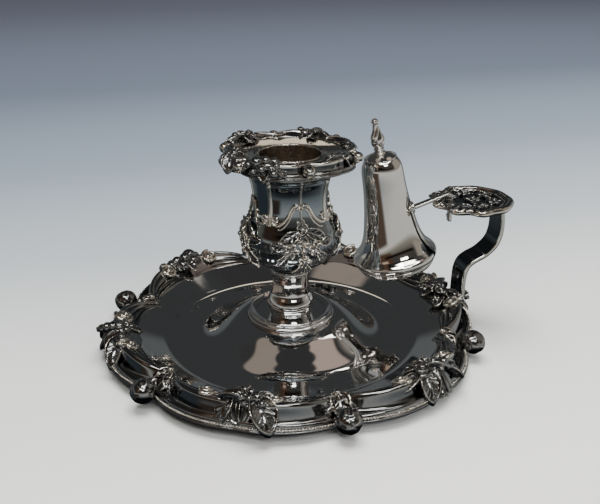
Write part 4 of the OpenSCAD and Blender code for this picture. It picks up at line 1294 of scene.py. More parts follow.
@dataclass
class Border(SubAssembly):
    """The cast border: ring, beads, volutes, buds and the six clusters."""

    def build(self) -> None:
        """Makes every casting round the tray."""
        border = ScrollBorder(RIDGE, LIP, 1.6, 3.4, TRAY.sheet, TRAY.top, 3, 7.8, 2.6, 0.6)
        self.settle("border_casting", border.form(), "border_ring")
        a = border.angles()[::2]
        low = polar(border.at(a, 0.905), a, border.drop(a, 0.78) + 0.1)
        trees = self.repeats
        pearls = self.along("border_pearls", trees.beads, low, 0.5, Count=420, Spread=0.35)
        self.settle("border_pearls", pearls)
        radius = RIDGE.radius(a) - 1.75
        inner = polar(radius, a, TRAY.top(radius) + 0.25)
        self.settle("border_inner_wire", self.along("border_inner_wire", trees.wire, inner, 0.3))
        self._volutes()
        self._buds()
        groups = Ornaments(self.blossoms)
        makers = {"handle_cluster": groups.flowers, "back_cluster": groups.berries,
                  "grape_cluster": groups.grapes, "roll_cluster": groups.rolls,
                  "leaf_cluster": groups.leaves, "shell_cluster": groups.shell}
        for lobe, (name, make) in enumerate(makers.items()):
            here = Matrix.Rotation(lobe * RIDGE.half * 2, 4, "Z") @ spot(CLUSTER_R, 0, CLUSTER_Z)
            casting = Form.joined([form.placed(here) for form in make()])
            self.settle(name + "_casting", fused(name, casting, 0.2), name)

    def _volutes(self) -> None:
        """Curls the ridge in to a round eye on both sides of each cluster."""
        for side, tag in ((1, "left"), (-1, "right")):
            curl = Volute(3.5, 0.95, 1.7, -side, 10 * side, 1.3).form()
            cup = Form.ball(2.3, (0, 0, -0.7), 12)
            cup.points[:, 2] *= 0.35
            pair = Form.joined([curl, cup]).placed(on_rim(side * 10.4, 65.6, 1.3))
            self.around("volutes_" + tag, pair, RIDGE.lobes, 0, *(("border_curls",) if side > 0 else ()))

    def _buds(self) -> None:
        """Sets a petalled bud and its bract in each notch."""
        centre = float(LIP.radius(RIDGE.half)) + 2.8

        def petals(down: Array, round_z: Array) -> Array:
            """Creases a ball into overlapping petals."""
            lobes = np.abs(np.cos(2.5 * round_z + 1.2 * np.cos(down)))
            shut = smoothstep(0.05, 0.9, down) * smoothstep(0.0, 0.5, math.pi - down)
            tier = 0.05 * smoothstep(0.0, 0.12, down - 0.75 - 0.12 * lobes)
            return 0.93 + 0.07 * lobes ** 0.45 * shut + tier * 0.6 - 0.05 * np.exp(-(down / 0.25) ** 2)

        bud = Form.ball(4.45, (0, 0, 0), 40, petals).at(centre, 0, 6.55, 0, 32, 20)
        self.around("notch_buds", bud, RIDGE.lobes, 30, "border_buds", reach=0.7, depth=0.14)
        grid = (40, 25)
        forms = [Leaf(8.2, 7.2, 3.6, 1.2, 4, 0, 1.2, grid=grid).form().at(58.6, 0, 9.4, 0, 14),
                 Leaf(6.5, 4.2, 2.0, 0.9, 4, 1.4, 1.1, grid=grid).form().at(60.6, 1.4, 8.8, 34, 14),
                 Leaf(6.5, 4.2, 2.0, 0.9, 4, -1.4, 1.1, grid=grid).form().at(60.6, -1.4, 8.8, -34, 14),
                 Form.ball(1.15, (59.4, 0, 9.7))]
        self.around("notch_bracts", Form.joined(forms), RIDGE.lobes, 30, "bud_calyxes")


# Stem and urn


STEM_BASE = 10.0
KNOP_Z = 11.78
KNOP_R = 9.3
KNOP_H = 16.8
NECK_R = 7.1
COLLAR_Z = 28.62
URN_Z = 29.96
URN_R = 18.1
URN_H = 39.4
URN_TOP = URN_Z + URN_H
URN_SIDES = 4
URN_WALL = ((0.4, 0), (0.45, 0.035), (0.6, 0.07), (0.77, 0.115), (0.87, 0.16), (0.95, 0.225), (0.99, 0.3),
            (1, 0.365), (0.985, 0.43), (0.93, 0.5), (0.87, 0.57), (0.815, 0.65), (0.795, 0.73), (0.8, 0.81),
            (0.825, 0.88), (0.85, 0.93), (0.88, 1))


@dataclass
class Stem(SubAssembly):
    """The foot, knop and collar below the urn."""

    def build(self) -> None:
        """Turns each piece of the stem."""
        bore = TRAY.stud
        foot = [(bore, 0), (17, 0), (17, 0.05), (17, 0.9), (16.75, 1.26), (16.4, 1.5), (16.4, 1.56),
                (16.4, 2.55), (16.23, 2.9), (15.98, 3.02), (15.64, 2.85), (15.3, 2.4), (13.3, 1.46),
                (10.2, 1.36), (8.4, 1.6), (8.0, 1.7), (bore, 1.7), (bore, 1.65)]
        self._turn("foot", foot, STEM_BASE + 0.04, "stem_foot")
        knop = [(0.79, 0), (0.88, 0.04), (0.97, 0.11), (1, 0.2), (0.98, 0.29), (0.91, 0.38), (0.83, 0.45)]
        neck = [(1.04, 0.5), (1, 0.62), (1, 0.76), (1.02, 0.88), (1.06, 0.98), (1.06, 1)]
        side = [(KNOP_R * r, KNOP_H * h) for r, h in knop] + [(NECK_R * r, KNOP_H * h) for r, h in neck]
        ends = [(bore, KNOP_H), (bore, KNOP_H - 0.2)]
        self._turn("knop", [(bore, 0), (7.3, 0)] + side + ends, KNOP_Z, "stem_knop")
        collar = [(bore, 0), (7.2, 0), (7.34, 0), (7.78, 0.22), (7.92, 0.65), (7.78, 1.08), (7.34, 1.3),
                  (7.2, 1.3), (bore, 1.3), (bore, 1.2)]
        self._turn("collar", collar, COLLAR_Z, "stem_collar")

    def _turn(self, name: str, outline: list[tuple[float, float]], base: float, node: str) -> None:
        """Turns one outline, which starts at the height given."""
        profile = spline(np.array(outline) + (0, base), 5, closed=True)
        self.settle("stem_" + name + "_turned", Form.lathe(profile), node, look=Look.SHEET)


@dataclass
class Urn(SubAssembly):
    """The four-sided urn with ribs, a scroll line and flower sprays."""

    def build(self) -> None:
        """Makes the urn and its applied castings."""
        self.settle("urn_body", self._body(), "urn", look=Look.URN, reach=1.2, depth=0.25)
        self._ribs()
        self._line()
        self._sprays()
        flange = [(12.06, -1), (12.6, -1), (12.61, 0), (15.0, 0), (15.2, 0.15), (15.2, 0.65), (15.0, 0.8),
                  (12.2, 0.8), (12.06, 0.7)]
        liner = [(12.06, -30.4), (12.61, -30.4)] + flange[2:]
        profile = np.array(liner) + (0, URN_TOP + 0.04)
        self.settle("socket_lining", Form.lathe(profile), "socket_liner", look=Look.SHEET)

    @staticmethod
    def face(share: Array) -> Array:
        """Radius of the plain urn at a share of its height."""
        table = spline(np.array(URN_WALL), 6)
        return URN_R * np.interp(share, table[:, 1], table[:, 0])

    @classmethod
    def skin(cls, angle: Array, share: Array) -> Array:
        """Radius of the urn's worked face at an angle in radians and a share of its height."""
        off = off_middle(angle, math.pi / 4)
        to_corner = math.pi / 4 - off
        panel = smoothstep(0.36, 0.5, share) * smoothstep(1.0, 0.9, share)
        hollow = -0.42 * np.cos(2 * off) ** 2 * panel
        reeds = np.abs(np.cos(math.pi * to_corner / 0.115)) ** 0.7 * smoothstep(0.42, 0.36, to_corner)
        low = smoothstep(0.03, 0.12, share) * smoothstep(0.4, 0.33, share)
        belly = 0.12 * np.cos(4 * angle) * smoothstep(0.1, 0.3, share) * smoothstep(0.5, 0.36, share)
        rim = -0.2 * np.exp(-((share - 0.955) / 0.012) ** 2)
        return cls.face(share) + hollow + 0.34 * reeds * low - belly + rim - 0.12

    def _body(self) -> Form:
        """The hollow urn."""
        angles = circle(384)[:, None]
        share = np.linspace(0, 1, 110)[None, :]
        outer = polar(self.skin(angles, share), angles, URN_Z + URN_H * share)
        down = np.linspace(1, 0.06, 24)[None, :]
        inner_r = np.maximum(self.face(down) - 1.3, 12.66)
        inner_r[:, -1:] = TRAY.stud
        inner = polar(inner_r, angles, URN_Z + URN_H * down)
        return Form.wrapped(outer, inner, polar(TRAY.stud, angles, URN_Z))

    def place(self, turn: float, share: float, lift: float, spin: float = 0.0) -> Matrix:
        """A place on the urn's face, with +Z outwards and +X down the face."""
        step = 0.01
        lean = math.atan2(float(self.face(share + step) - self.face(share - step)), 2 * step * URN_H)
        radius = float(self.skin(np.radians(turn), np.asarray(share))) + lift
        return (turned(turn, "Z") @ spot(radius, 0, URN_Z + URN_H * share)
                @ Matrix.Rotation(math.pi / 2 + lean, 4, "Y") @ spot(0, 0, 0, spin))

    def _drawn(self, name: str, turns: Array, shares: Array, radius: float, *nodes: str,
               taper: Array | None = None, lift: float = 0.15) -> None:
        """Lays a wire on the face along angles in degrees and shares of the height, once for each side."""
        a = np.radians(turns)
        path = polar(self.skin(a, shares) + lift, a, URN_Z + URN_H * shares)
        line = self.along(name + "_line", self.repeats.wire, path, radius, False, taper)
        form = Form.of_mesh(line.data)
        discard(line)
        self.around(name, form, URN_SIDES, 0, *nodes, reach=0.6, depth=0.1)

    def _ribs(self) -> None:
        """Runs a triple rib up each corner and a short one down from the top of each side."""
        shares = np.linspace(0.56, 0.985, 50)
        for k, name, radius, nodes in ((-1, "ribs_left", 0.36, ()), (0, "ribs_middle", 0.62, ("urn_ribs",)),
                                       (1, "ribs_right", 0.36, ())):
            spread = 2.6 * k * (1 - 0.35 * smoothstep(0.6, 0.85, shares))
            self._drawn(name, 45 + spread, shares, radius, *nodes)
        short = np.linspace(0.77, 0.985, 30)
        taper = 0.55 + 0.45 * smoothstep(0.77, 0.86, short)
        self._drawn("panel_stems", np.zeros(30), short, 0.42, taper=taper)

    def _line(self) -> None:
        """Draws the scrolled crest across each side, with a volute at both ends."""
        half = np.array([(0, 0.733), (4.5, 0.757), (10, 0.748), (14, 0.712), (18, 0.66), (24, 0.608),
                         (30, 0.577), (36, 0.574), (40, 0.597), (40.2, 0.628), (37.4, 0.646), (34.4, 0.636),
                         (33.8, 0.615), (35.6, 0.604), (37, 0.613)])
        dense = spline(half, 7)
        both = np.vstack([dense[::-1] * (-1, 1), dense[1:]])
        far = np.abs(np.linspace(-1, 1, len(both)))
        self._drawn("crest_lines", both[:, 0], both[:, 1], 0.62, "urn_scroll_line",
                    taper=0.95 - 0.35 * far ** 3, lift=0.2)
        inner = dense[: 7 * 7]
        both = np.vstack([inner[::-1] * (-0.9, 1), inner[1:] * (0.9, 1)]) - (0, 0.035)
        self._drawn("crest_inner_lines", both[:, 0], both[:, 1], 0.3, lift=0.1)

    def _sprays(self) -> None:
        """Sets a spray of flowers and leaves on each side."""
        stem = spline(np.array([(0, 0.7), (0.8, 0.58), (-0.6, 0.45), (0.6, 0.3), (0, 0.15)]), 8)
        self._drawn("spray_stems", stem[:, 0], stem[:, 1], 0.34)
        forms = [self.blossoms.rosette(r).placed(self.place(t, s, 0.3, spin)) for r, t, s, spin in (
            (3.1, -14, 0.36, 0), (3.1, 14, 0.37, 30), (3.0, 1.5, 0.24, 10), (2.4, 0, 0.575, 0))]
        forms += [Form.ball(r).placed(self.place(t, s, 0.5)) for r, t, s in (
            (1.4, -3.5, 0.43), (1.3, 4.5, 0.41), (1.2, 0.5, 0.34), (0.9, 22, 0.46), (0.9, -22, 0.45))]
        for length, width, turn, share, spin in (
                (6.4, 3.6, -18, 0.31, -40), (6.0, 3.4, -20, 0.39, -100), (6.4, 3.6, 18, 0.32, 40),
                (6.0, 3.4, 20, 0.4, 100), (5.6, 3.2, -2, 0.18, -30), (5.6, 3.2, 5, 0.18, 25),
                (8.4, 4.4, -4, 0.52, -62), (8.4, 4.4, 5, 0.53, 62), (5.8, 3.4, 0, 0.5, 0)):
            leaf = Leaf(length, width, 0.7, 1.1, 4, 0, 1.3, rim=0.22, grid=(32, 19))
            forms.append(leaf.form().placed(self.place(turn, share, 0.5, spin)))
        self.around("urn_flowers", Form.joined(forms), URN_SIDES, 0, "urn_sprays", reach=0.8)


# Handle


STRAP_X = 71.99
STRAP_BOW = 15.4
STRAP_FOOT = 9.4
STRAP_RISE = 39
STRAP_HALF = 5.25
THUMB_X = 75.59
THUMB_R = 14.7
THUMB_Z = 48.44
THUMB_TOP = THUMB_Z + 1.5
TONGUE_X = 65.888
SLOT_HALF = (1.1, 1.65)


def carved(name: str, mesh: Mesh, low: Sequence[float], high: Sequence[float]) -> Mesh:
    """Cuts a box out of a mesh.

    Args:
        name: Name of the new mesh.
        mesh: The mesh to cut.
        low: Lowest corner of the box, in millimetres.
        high: Highest corner.

    Returns:
        The cut mesh.
    """
    (x0, y0, z0), (x1, y1, z1) = low, high
    rows = np.array([[(x0, y0, z), (x1, y0, z), (x1, y1, z), (x0, y1, z)] for z in (z0, z1)])
    tool = scene_object(name + "_tool", Form.lattice(rows, Ends.CAPPED).mesh(name + "_tool"))
    whole = scene_object(name + "_whole", mesh)
    cut = whole.modifiers.new("cut", "BOOLEAN")
    cut.operation = "DIFFERENCE"
    cut.object = tool
    cut.solver = "EXACT"
    result = worked(whole)
    result.name = name
    discard(whole)
    discard(tool)
    return result


@dataclass
class Handle(SubAssembly):
    """The strap, its foot leaf and the thumb plate."""

    def build(self) -> None:
        """Makes the handle."""
        self._strap()
        self._foot()
        self._plate()
        self._edge()
        self._flowers()

    @staticmethod
    def spine() -> Array:
        """Middle line of the strap."""
        x = (0, 0.01, 0.03, 0.12, 0.3, 0.6, 0.87, 0.98, 1, 0.97, 0.9)
        z = (0, 0.13, 0.25, 0.345, 0.4, 0.455, 0.55, 0.66, 0.79, 0.91, 1)
        points = [(STRAP_X + STRAP_BOW * a, 0.0, STRAP_FOOT + STRAP_RISE * b) for a, b in zip(x, z)]
        return spline(np.array(points), 8)

    def _strap(self) -> None:
        """Sweeps the strap, with a raised cord along both edges."""
        across = np.linspace(-1, 1, 41)
        side = np.abs(across)
        cord = 0.32 * np.exp(-((side - 0.88) / 0.09) ** 2) - 0.1 * np.exp(-((side - 0.7) / 0.07) ** 2)
        round_edge = np.sqrt(np.clip(1 - side ** 24, 0, 1))
        face = 0.8 * round_edge + cord
        back = -0.85 * round_edge
        wide = STRAP_HALF * across
        section = np.concatenate([np.stack([wide, face], -1), np.stack([wide[::-1], back[::-1]], -1)[1:-1]])
        self.settle("strap_band", Form.strap(self.spine(), section), "handle_strap", look=Look.STRAP)

    def _foot(self) -> None:
        """Casts the leaf that holds the strap to the border."""
        curl = [(75.4, 0, 7.6), (76.3, 0, 8.4), (76.2, 0, 9.3), (75.4, 0, 9.4), (75.1, 0, 8.8)]
        forms = [
            Leaf(9.0, 10.2, 0.8, 0.9, 5, 0, 1.2, 0.8).form().at(STRAP_X + 1.0, 0, 3.9, 0, -86),
            Leaf(6.5, 4.4, 1.0, 0.8, 4, 0.6, 1.0).form().at(STRAP_X + 1.4, 2.4, 4.4, 0, -78, 20),
            Leaf(6.5, 4.4, 1.0, 0.8, 4, -0.6, 1.0).form().at(STRAP_X + 1.4, -2.4, 4.4, 0, -78, -20),
            Form.tube(spline(np.array(curl), 6), 0.6),
            *knobs((0.9, 75.5, 0, 8.9), (1.7, STRAP_X + 0.8, 0, 5.6), (1.1, STRAP_X + 1.5, 3.2, 5.0),
                   (1.1, STRAP_X + 1.5, -3.2, 5.0)),
            Leaf(5.4, 4.6, 1.2, 0.7, 4, 0, 1.1).form().at(STRAP_X + 0.6, 0, 6.4, 0, -14),
        ]
        self.settle("strap_foot_leaf", fused("strap_foot_leaf", Form.joined(forms), 0.2, 2), "handle_foot")

    @staticmethod
    def outline(angle: Array) -> Array:
        """Radius of the thumb plate, lobed on the bell's side and nearly plain beyond."""
        plain = smoothstep(2.0, 1.2, off_middle(angle, math.pi))
        return THUMB_R + 1.1 * (1 - 0.8 * plain) * np.cos(9 * (angle + math.pi))

    def _plate(self) -> None:
        """Presses the dished plate and cuts its slot."""
        angles = circle(216)[:, None]
        share = np.linspace(0.01, 1, 46)[None, :]
        radius = (self.outline(angles) - 0.1) * share
        dish = -0.55 * (1 - share ** 2) ** 1.5
        rings = 0.1 * np.cos(2 * math.pi * (radius - 14.1) / 1.5) * np.exp(-((radius - 11.6) / 1.2) ** 2)
        top = polar(radius, angles, THUMB_TOP + dish + rings)
        bottom = polar(radius[:, ::-3], angles, THUMB_Z)
        form = Form.wrapped(top, bottom).at(THUMB_X, 0, 0)
        x, y = SLOT_HALF
        low, high = (TONGUE_X - x, -y, THUMB_Z - 2), (TONGUE_X + x, y, THUMB_TOP + 2)
        mesh = carved("thumb_plate_cut", form.mesh("thumb_plate_whole"), low, high)
        self.settle("thumb_rest", mesh, "thumb_plate", look=Look.STRAP)

    def _edge(self) -> None:
        """Rolls the leafy edge: a heavy round end away from the bell and leaf lobes on the near side."""
        angles = circle(432)
        edge = self.outline(angles)
        heavy = smoothstep(2.2, 1.1, off_middle(angles, math.pi))
        veins = 0.16 * np.cos(36 * angles) * (1 - heavy)
        section = np.array([(0.04, 0.0), (0.8, 0.15), (1.35, 1.0), (1.0, 2.0), (0.3, 2.5), (-0.4, 2.64),
                            (-1.1, 2.3), (-1.5, 1.8), (-1.85, 1.95), (-2.3, 1.9), (-2.7, 1.5), (-1.6, 1.2),
                            (0.04, 1.2)])
        lines = np.array([0, 0, 0, 1, 1, 1, 0.6, -1.2, 0.8, 0.3, 0, 0, 0]) * 0.22
        rows = np.stack([edge[:, None] + section[None, :, 0] * (1 + 0.06 * heavy[:, None]),
                         THUMB_Z + section[None, :, 1] + lines * heavy[:, None] * 0.6 + veins[:, None]
                         * (section[None, :, 1] > 1.9)], -1)
        dense = spline(rows, 3, closed=True)
        form = Form.lattice(polar(dense[..., 0], angles[:, None], dense[..., 1]), Ends.CLOSED)
        self.settle("thumb_edge", form.at(THUMB_X, 0, 0), "thumb_border")

    def _flowers(self) -> None:
        """Scatters flowers and leaf lobes over the plate."""
        forms = []
        for turn, radius, share in ((0, 3.4, 0.0), (30, 3.2, 0.57), (90, 3.0, 0.55), (140, 2.7, 0.6),
                                    (220, 2.7, 0.6), (270, 3.0, 0.55), (330, 3.2, 0.57)):
            a = math.radians(turn)
            x, y = THUMB_X + THUMB_R * share * math.cos(a), THUMB_R * share * math.sin(a)
            forms.append(self.blossoms.rosette(radius).at(x, y, THUMB_TOP - 0.15, turn))
            for side in (-1, 1):
                leaf = Leaf(4.0, 2.0, 0.5, 0.4, 3, 0, 0.7).form()
                forms.append(leaf.at(x, y, THUMB_TOP + 0.35, turn + side * 105, 3))
        for turn in (148, 212):
            a = math.radians(turn)
            x, y = THUMB_X + 10.6 * math.cos(a), 10.6 * math.sin(a)
            forms.append(Leaf(7.0, 5.2, 1.2, 1.0, 4, 0, 1.1, 0.8).form().at(x, y, THUMB_TOP + 0.6, turn, -6))
        casting = fused("thumb_blossoms", Form.joined(forms), 0.17)
        self.settle("thumb_blossoms", casting, "thumb_flowers", depth=0.22)


# Nozzle


NOZZLE_Z = 70.35
PAN_Z = 74.75
TUBE_R = 12.0
PAN_BORE = 12.04
RIM_R = 11.78
RIM_Z = 75.2
PAN_RIDGE = ScrollOutline(23.2, 8.9)
PAN_LIP = ScrollOutline(26.2, 13.0)


def pan_top(radius: Array) -> Array:
    """Height of the drip pan's upper face at a radius."""
    return PAN_Z + 0.19 * (np.asarray(radius, float) - TUBE_R)


@dataclass
class Nozzle(SubAssembly):
    """The candle tube with its drip pan, which lifts out of the urn."""

    body: str = "nozzle"

    def build(self) -> None:
        """Makes the nozzle."""
        tube = [(0.0, 48.15), (11.7, 48.15), (12.0, 48.4), (12.0, 75.0), (11.96, 75.2), (11.7, 75.25),
                (11.42, 75.2), (11.4, 75.0), (11.4, 48.9), (11.2, 48.75), (0.0, 48.75)]
        self.settle("candle_tube_turned", Form.lathe(np.array(tube)), "nozzle_tube", look=Look.BORE)
        rim = polar(RIM_R, circle(144), RIM_Z)
        self.settle("tube_rim", self.along("tube_rim", self.repeats.wire, rim, 0.3), look=Look.SHEET)
        self._pan()
        self._border()

    def _pan(self) -> None:
        """Presses the pan and turns the cove below it."""
        angles = circle(288)[:, None]
        share = np.linspace(0, 1, 24)[None, :]
        radius = PAN_BORE + (PAN_RIDGE.radius(angles) - 0.1 - PAN_BORE) * share
        dish = -0.25 * np.sin(math.pi * share) + 0.35 * smoothstep(0.16, 0.0, share)
        top = polar(radius, angles, pan_top(radius) + dish)
        lower = polar(radius[:, ::-2], angles, pan_top(radius[:, ::-2]) - 1.0)
        self.settle("drip_pan", Form.wrapped(top, lower), "nozzle_pan", look=Look.PAN)
        cove = [(PAN_BORE, 0), (15.2, 0), (15.2, 0.05), (15.25, 1.0), (15.9, 2.08), (17.05, 2.9), (18.5, 4.5),
                (18.42, 4.56), (PAN_BORE, 3.36), (PAN_BORE, 3.3)]
        profile = spline(np.array(cove) + (0, NOZZLE_Z), 4, closed=True)
        self.settle("cove_turned", Form.lathe(profile), "nozzle_cove", look=Look.SHEET)

    def _border(self) -> None:
        """Casts the border with its varied ornaments."""
        border = ScrollBorder(PAN_RIDGE, PAN_LIP, 1.25, PAN_Z - 1.9, 1.0, pan_top, 3, 3.8, 1.8, 0.36, 720)
        self.settle("nozzle_border_casting", border.form(), "nozzle_border", reach=0.6, depth=0.1)

        def creased(down: Array, round_z: Array) -> Array:
            """Creases a small ball into petals."""
            return 0.94 + 0.06 * np.abs(np.cos(2 * round_z)) ** 0.5 * smoothstep(0.1, 0.9, down)

        reach = float(PAN_LIP.radius(PAN_RIDGE.half)) + 0.84
        bud = Form.ball(2.08, (0, 0, 0), 28, creased).at(reach, 0, PAN_Z + 0.8, 0, 30)
        bract = Leaf(4.0, 3.0, 1.4, 0.5, 3, 0, 0.8).form().at(reach - 3.2, 0, PAN_Z + 2.2, 0, 6)
        self.around("nozzle_bud_castings", Form.joined([bud, bract]), PAN_RIDGE.lobes, 30, "nozzle_buds",
                    reach=0.5, depth=0.1)
        radius = float(PAN_RIDGE.radius(0.0))
        groups = Ornaments(self.blossoms)
        forms = []
        for lobe, (make, size, turn, inwards) in enumerate((
                (groups.flowers, 0.34, 0, 0.0), (groups.rolls, 0.54, -8, 0.2), (groups.shell, 0.64, 4, 0.0),
                (groups.leaves, 0.62, 6, 0.5), (groups.grapes, 0.68, -7, 0.8),
                (groups.leaves, 0.47, -1, 1.4))):
            here = (turned(60 * lobe + turn, "Z") @ spot(radius - inwards, 0, float(pan_top(radius)) + 0.7)
                    @ Matrix.Scale(size, 4))
            forms += [form.placed(here) for form in make()]
        casting = fused("nozzle_cluster_castings", Form.joined(forms), 0.185)
        self.settle("nozzle_cluster_castings", casting, "nozzle_clusters", depth=0.2)


# Extinguisher


BELL_R = 16.6
BELL_H = 42.3
BELL_COLLAR_Z = 42.34
FLAME_Z = 44.38
ARM_TOP = THUMB_TOP + 2.64 + 0.75 + 0.35
ARM_LOW = (50.64, ARM_TOP - 4.16)


@dataclass
class Extinguisher(SubAssembly):
    """The bell with its collar, flame, pad and hook arm, which lifts off the thumb plate."""

    body: str = "extinguisher"
    lean: Matrix = field(default_factory=lambda: spot(43.0, 0, 31.0, 0, -11))

    def build(self) -> None:
        """Makes the extinguisher."""
        self._bell()
        collar = [(1.15, 0), (2.1, 0), (2.27, 0.5), (1.75, 0.85), (1.6, 1.2), (1.75, 1.5), (2.05, 1.7),
                  (1.75, 2.0), (1.15, 2.0), (1.15, 1.9)]
        profile = spline(np.array(collar) + (0, BELL_COLLAR_Z), 4, closed=True)
        self._dressed("collar_turned", Form.lathe(profile, 64), "bell_collar", reach=0.4, depth=0.1)
        self._flame()
        self._arm()

    def _dressed(self, name: str, form: Form, node: str, **relief: float) -> None:
        """Settles a piece that was made upright, leaning as the bell does."""
        self.settle(name, form.placed(self.lean), node, look=Look.BELL, **relief)

    def _bell(self) -> None:
        """Turns the bell with its double rolled rim."""
        dome = [(0.13, 1), (0.25, 0.985), (0.355, 0.955), (0.425, 0.915)]
        side = [(0.475, 0.85), (0.5, 0.675), (0.54, 0.52), (0.6, 0.366), (0.665, 0.236), (0.745, 0.14),
                (0.84, 0.075), (0.93, 0.035), (0.985, 0.012), (1, -0.012), (0.985, -0.035), (0.945, -0.055),
                (0.915, -0.062), (0.915, -0.085), (0.885, -0.11), (0.85, -0.122)]
        outer = spline(np.array([(0.075, 1.0)] + dome + side) * (BELL_R, BELL_H), 6)
        inner = outer[::-2] - (0.9, 0)
        inner[:, 1] -= 0.7 * smoothstep(36, 41, inner[:, 1])
        inner[:, 0] = np.maximum(inner[:, 0], 1.2)
        self._dressed("bell_turned", Form.lathe(np.vstack([outer, inner]), 192), "bell")
        for name, share, height, size in (("bell_lip_bead", 0.93, -0.062, 0.32),
                                          ("bell_crown_bead", 0.365, 0.962, 0.2)):
            ring = Form(polar(BELL_R * share, circle(128), BELL_H * height), []).placed(self.lean)
            self.settle(name, self.along(name, self.repeats.wire, ring.points, size), look=Look.BELL)

    def _flame(self) -> None:
        """Twists the flutes of the flame and caps it with a knob."""
        shares = np.array([(0.5, 0), (0.85, 0.1), (1, 0.22), (0.95, 0.36), (0.7, 0.52), (0.5, 0.66),
                           (0.38, 0.8), (0.5, 0.87), (0.42, 0.95), (0.12, 1)])
        outline = spline(shares * (2.7, 11.6), 7)
        h = outline[:, 1][:, None]
        angles = circle(72)[None, :]
        deep = 0.13 * (1 - np.abs(np.cos(2.5 * (angles - h * 0.3))))
        flutes = 1 - deep * smoothstep(0.2, 1.4, h) * smoothstep(9.4, 8.1, h)
        form = Form.lattice(polar(outline[:, 0][:, None] * flutes, angles, FLAME_Z + h), Ends.CAPPED)
        self._dressed("flame_twisted", form, "flame_finial", reach=0.5, depth=0.1)

    def _arm(self) -> None:
        """Bends the flat arm over the plate's edge and solders it to its pad."""
        top = ARM_TOP
        low_x, low_z = ARM_LOW
        straight = [(low_x + k * (TONGUE_X - 2.4 - low_x), low_z + k * (top - 0.3 - low_z))
                    for k in (-0.02, 0.2, 0.55, 1)]
        bend = [(TONGUE_X - 1.2, top - 0.15), (TONGUE_X - 0.1, top - 0.9), (TONGUE_X, top - 2.0),
                (TONGUE_X, top - 6), (TONGUE_X, top - 11.5)]
        path = spline(np.array([(x, 0.0, z) for x, z in straight + bend]), 8)
        t = circle(28)
        section = np.stack([1.28 * squared(np.cos(t), 0.45), 0.72 * squared(np.sin(t), 0.6)], -1)
        arm = Form.strap(path, section)
        knob = self.blossoms.rosette(1.15).at(TONGUE_X - 0.7, 0, top - 9.2, 0, -90)
        self.settle("arm_bent", Form.joined([arm, knob]), "hook_arm", look=Look.BELL, reach=0.5, depth=0.1)
        local = self.lean.inverted() @ Vector((51.3, 0, low_z + 0.2))
        wall = float(np.interp(-local.z, -np.array([0.85, 0.675, 0.52, 0.366]) * BELL_H,
                               np.array([0.475, 0.5, 0.54, 0.6]) * BELL_R))
        ring = circle(48)
        rows = []
        for radius, lift in ((2.55, 0.05), (2.5, 0.5), (2.1, 0.78), (1.5, 0.85), (0.6, 0.95)):
            y, z = radius * np.cos(ring), radius * np.sin(ring)
            rows.append(np.stack([np.sqrt((wall + lift) ** 2 - y ** 2), y, local.z + z], -1))
        self._dressed("arm_pad_dressed", Form.lattice(np.array(rows), Ends.CAPPED), "arm_pad")


@dataclass
class Fixings(SubAssembly):
    """The hidden screw, washer, nut and rivet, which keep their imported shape."""

    def build(self) -> None:
        """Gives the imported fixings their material."""
        for node in ("stem_screw", "stem_washer", "stem_nut", "finial_rivet"):
            mesh = frame["nodes"][node].data
            mesh.materials.clear()
            mesh.materials.append(self.paints[Look.FITTING])
            log.info("%s keeps its packed shape", node)


# Studio


# The camera's right, up and back, and its place in metres, as the photo was taken
CAMERA_AXES = ((0.9625, -0.2711, 0.0), (0.1063, 0.3772, 0.92), (-0.2494, -0.8855, 0.3919))
CAMERA_PLACE = (-0.07387, -0.27568, 0.1576)
CAMERA_LENS = 48.47
CAMERA_SENSOR = 36.0
CAMERA_NEAR = 0.01
FLOOR_HALF = 5.0
FIBRES_PER_METRE = 900.0
FIBRE_HEIGHT = 0.0002
LIT_CARD_HALF = (0.008, 0.021)
LIT_CARD_PLACE = (0.044, 0.180, 0.190)
LIT_CARD_AIM = (0, 0.018, 0.076)
LIT_CARD_COLOUR = (0.84, 0.75, 0.59)
LIT_CARD_STRENGTH = 1.6
PATCH_ENDS = ("Low start", "Low end", "High start", "High end", "Side start", "Side end")


@dataclass(frozen=True)
class Card:
    """An area light: where it stands, what it faces and how large and strong it is."""

    name: str
    place: tuple[float, float, float]
    size: tuple[float, float]
    power: float
    colour: Colour = (1.0, 1.0, 1.0)
    aim: tuple[float, float, float] = (0.0, 0.0, 0.03)


@dataclass(frozen=True)
class Patch:
    """A soft-edged patch of the room that the silver mirrors: a wall, a card, a lamp or a dark gap.

    Its middle azimuth, half its width, its lowest and its highest elevation are in degrees.
    """

    name: str
    middle: float
    half: float
    low: float
    high: float
    light: Colour
    soft: float = 4.0

    def wires(self) -> dict[str, object]:
        """Values for the patch's mask."""
        half = self.soft / 2
        edges = (self.low - half, self.low + half, self.high + half, self.high - half)
        sine = [math.sin(math.radians(edge)) for edge in edges]
        turn = math.radians(self.middle)
        cosine = [math.cos(math.radians(max(v, 0))) for v in (self.half + self.soft, self.half - self.soft)]
        return {"Way": (math.cos(turn), math.sin(turn), 0.0), **dict(zip(PATCH_ENDS, sine + cosine))}


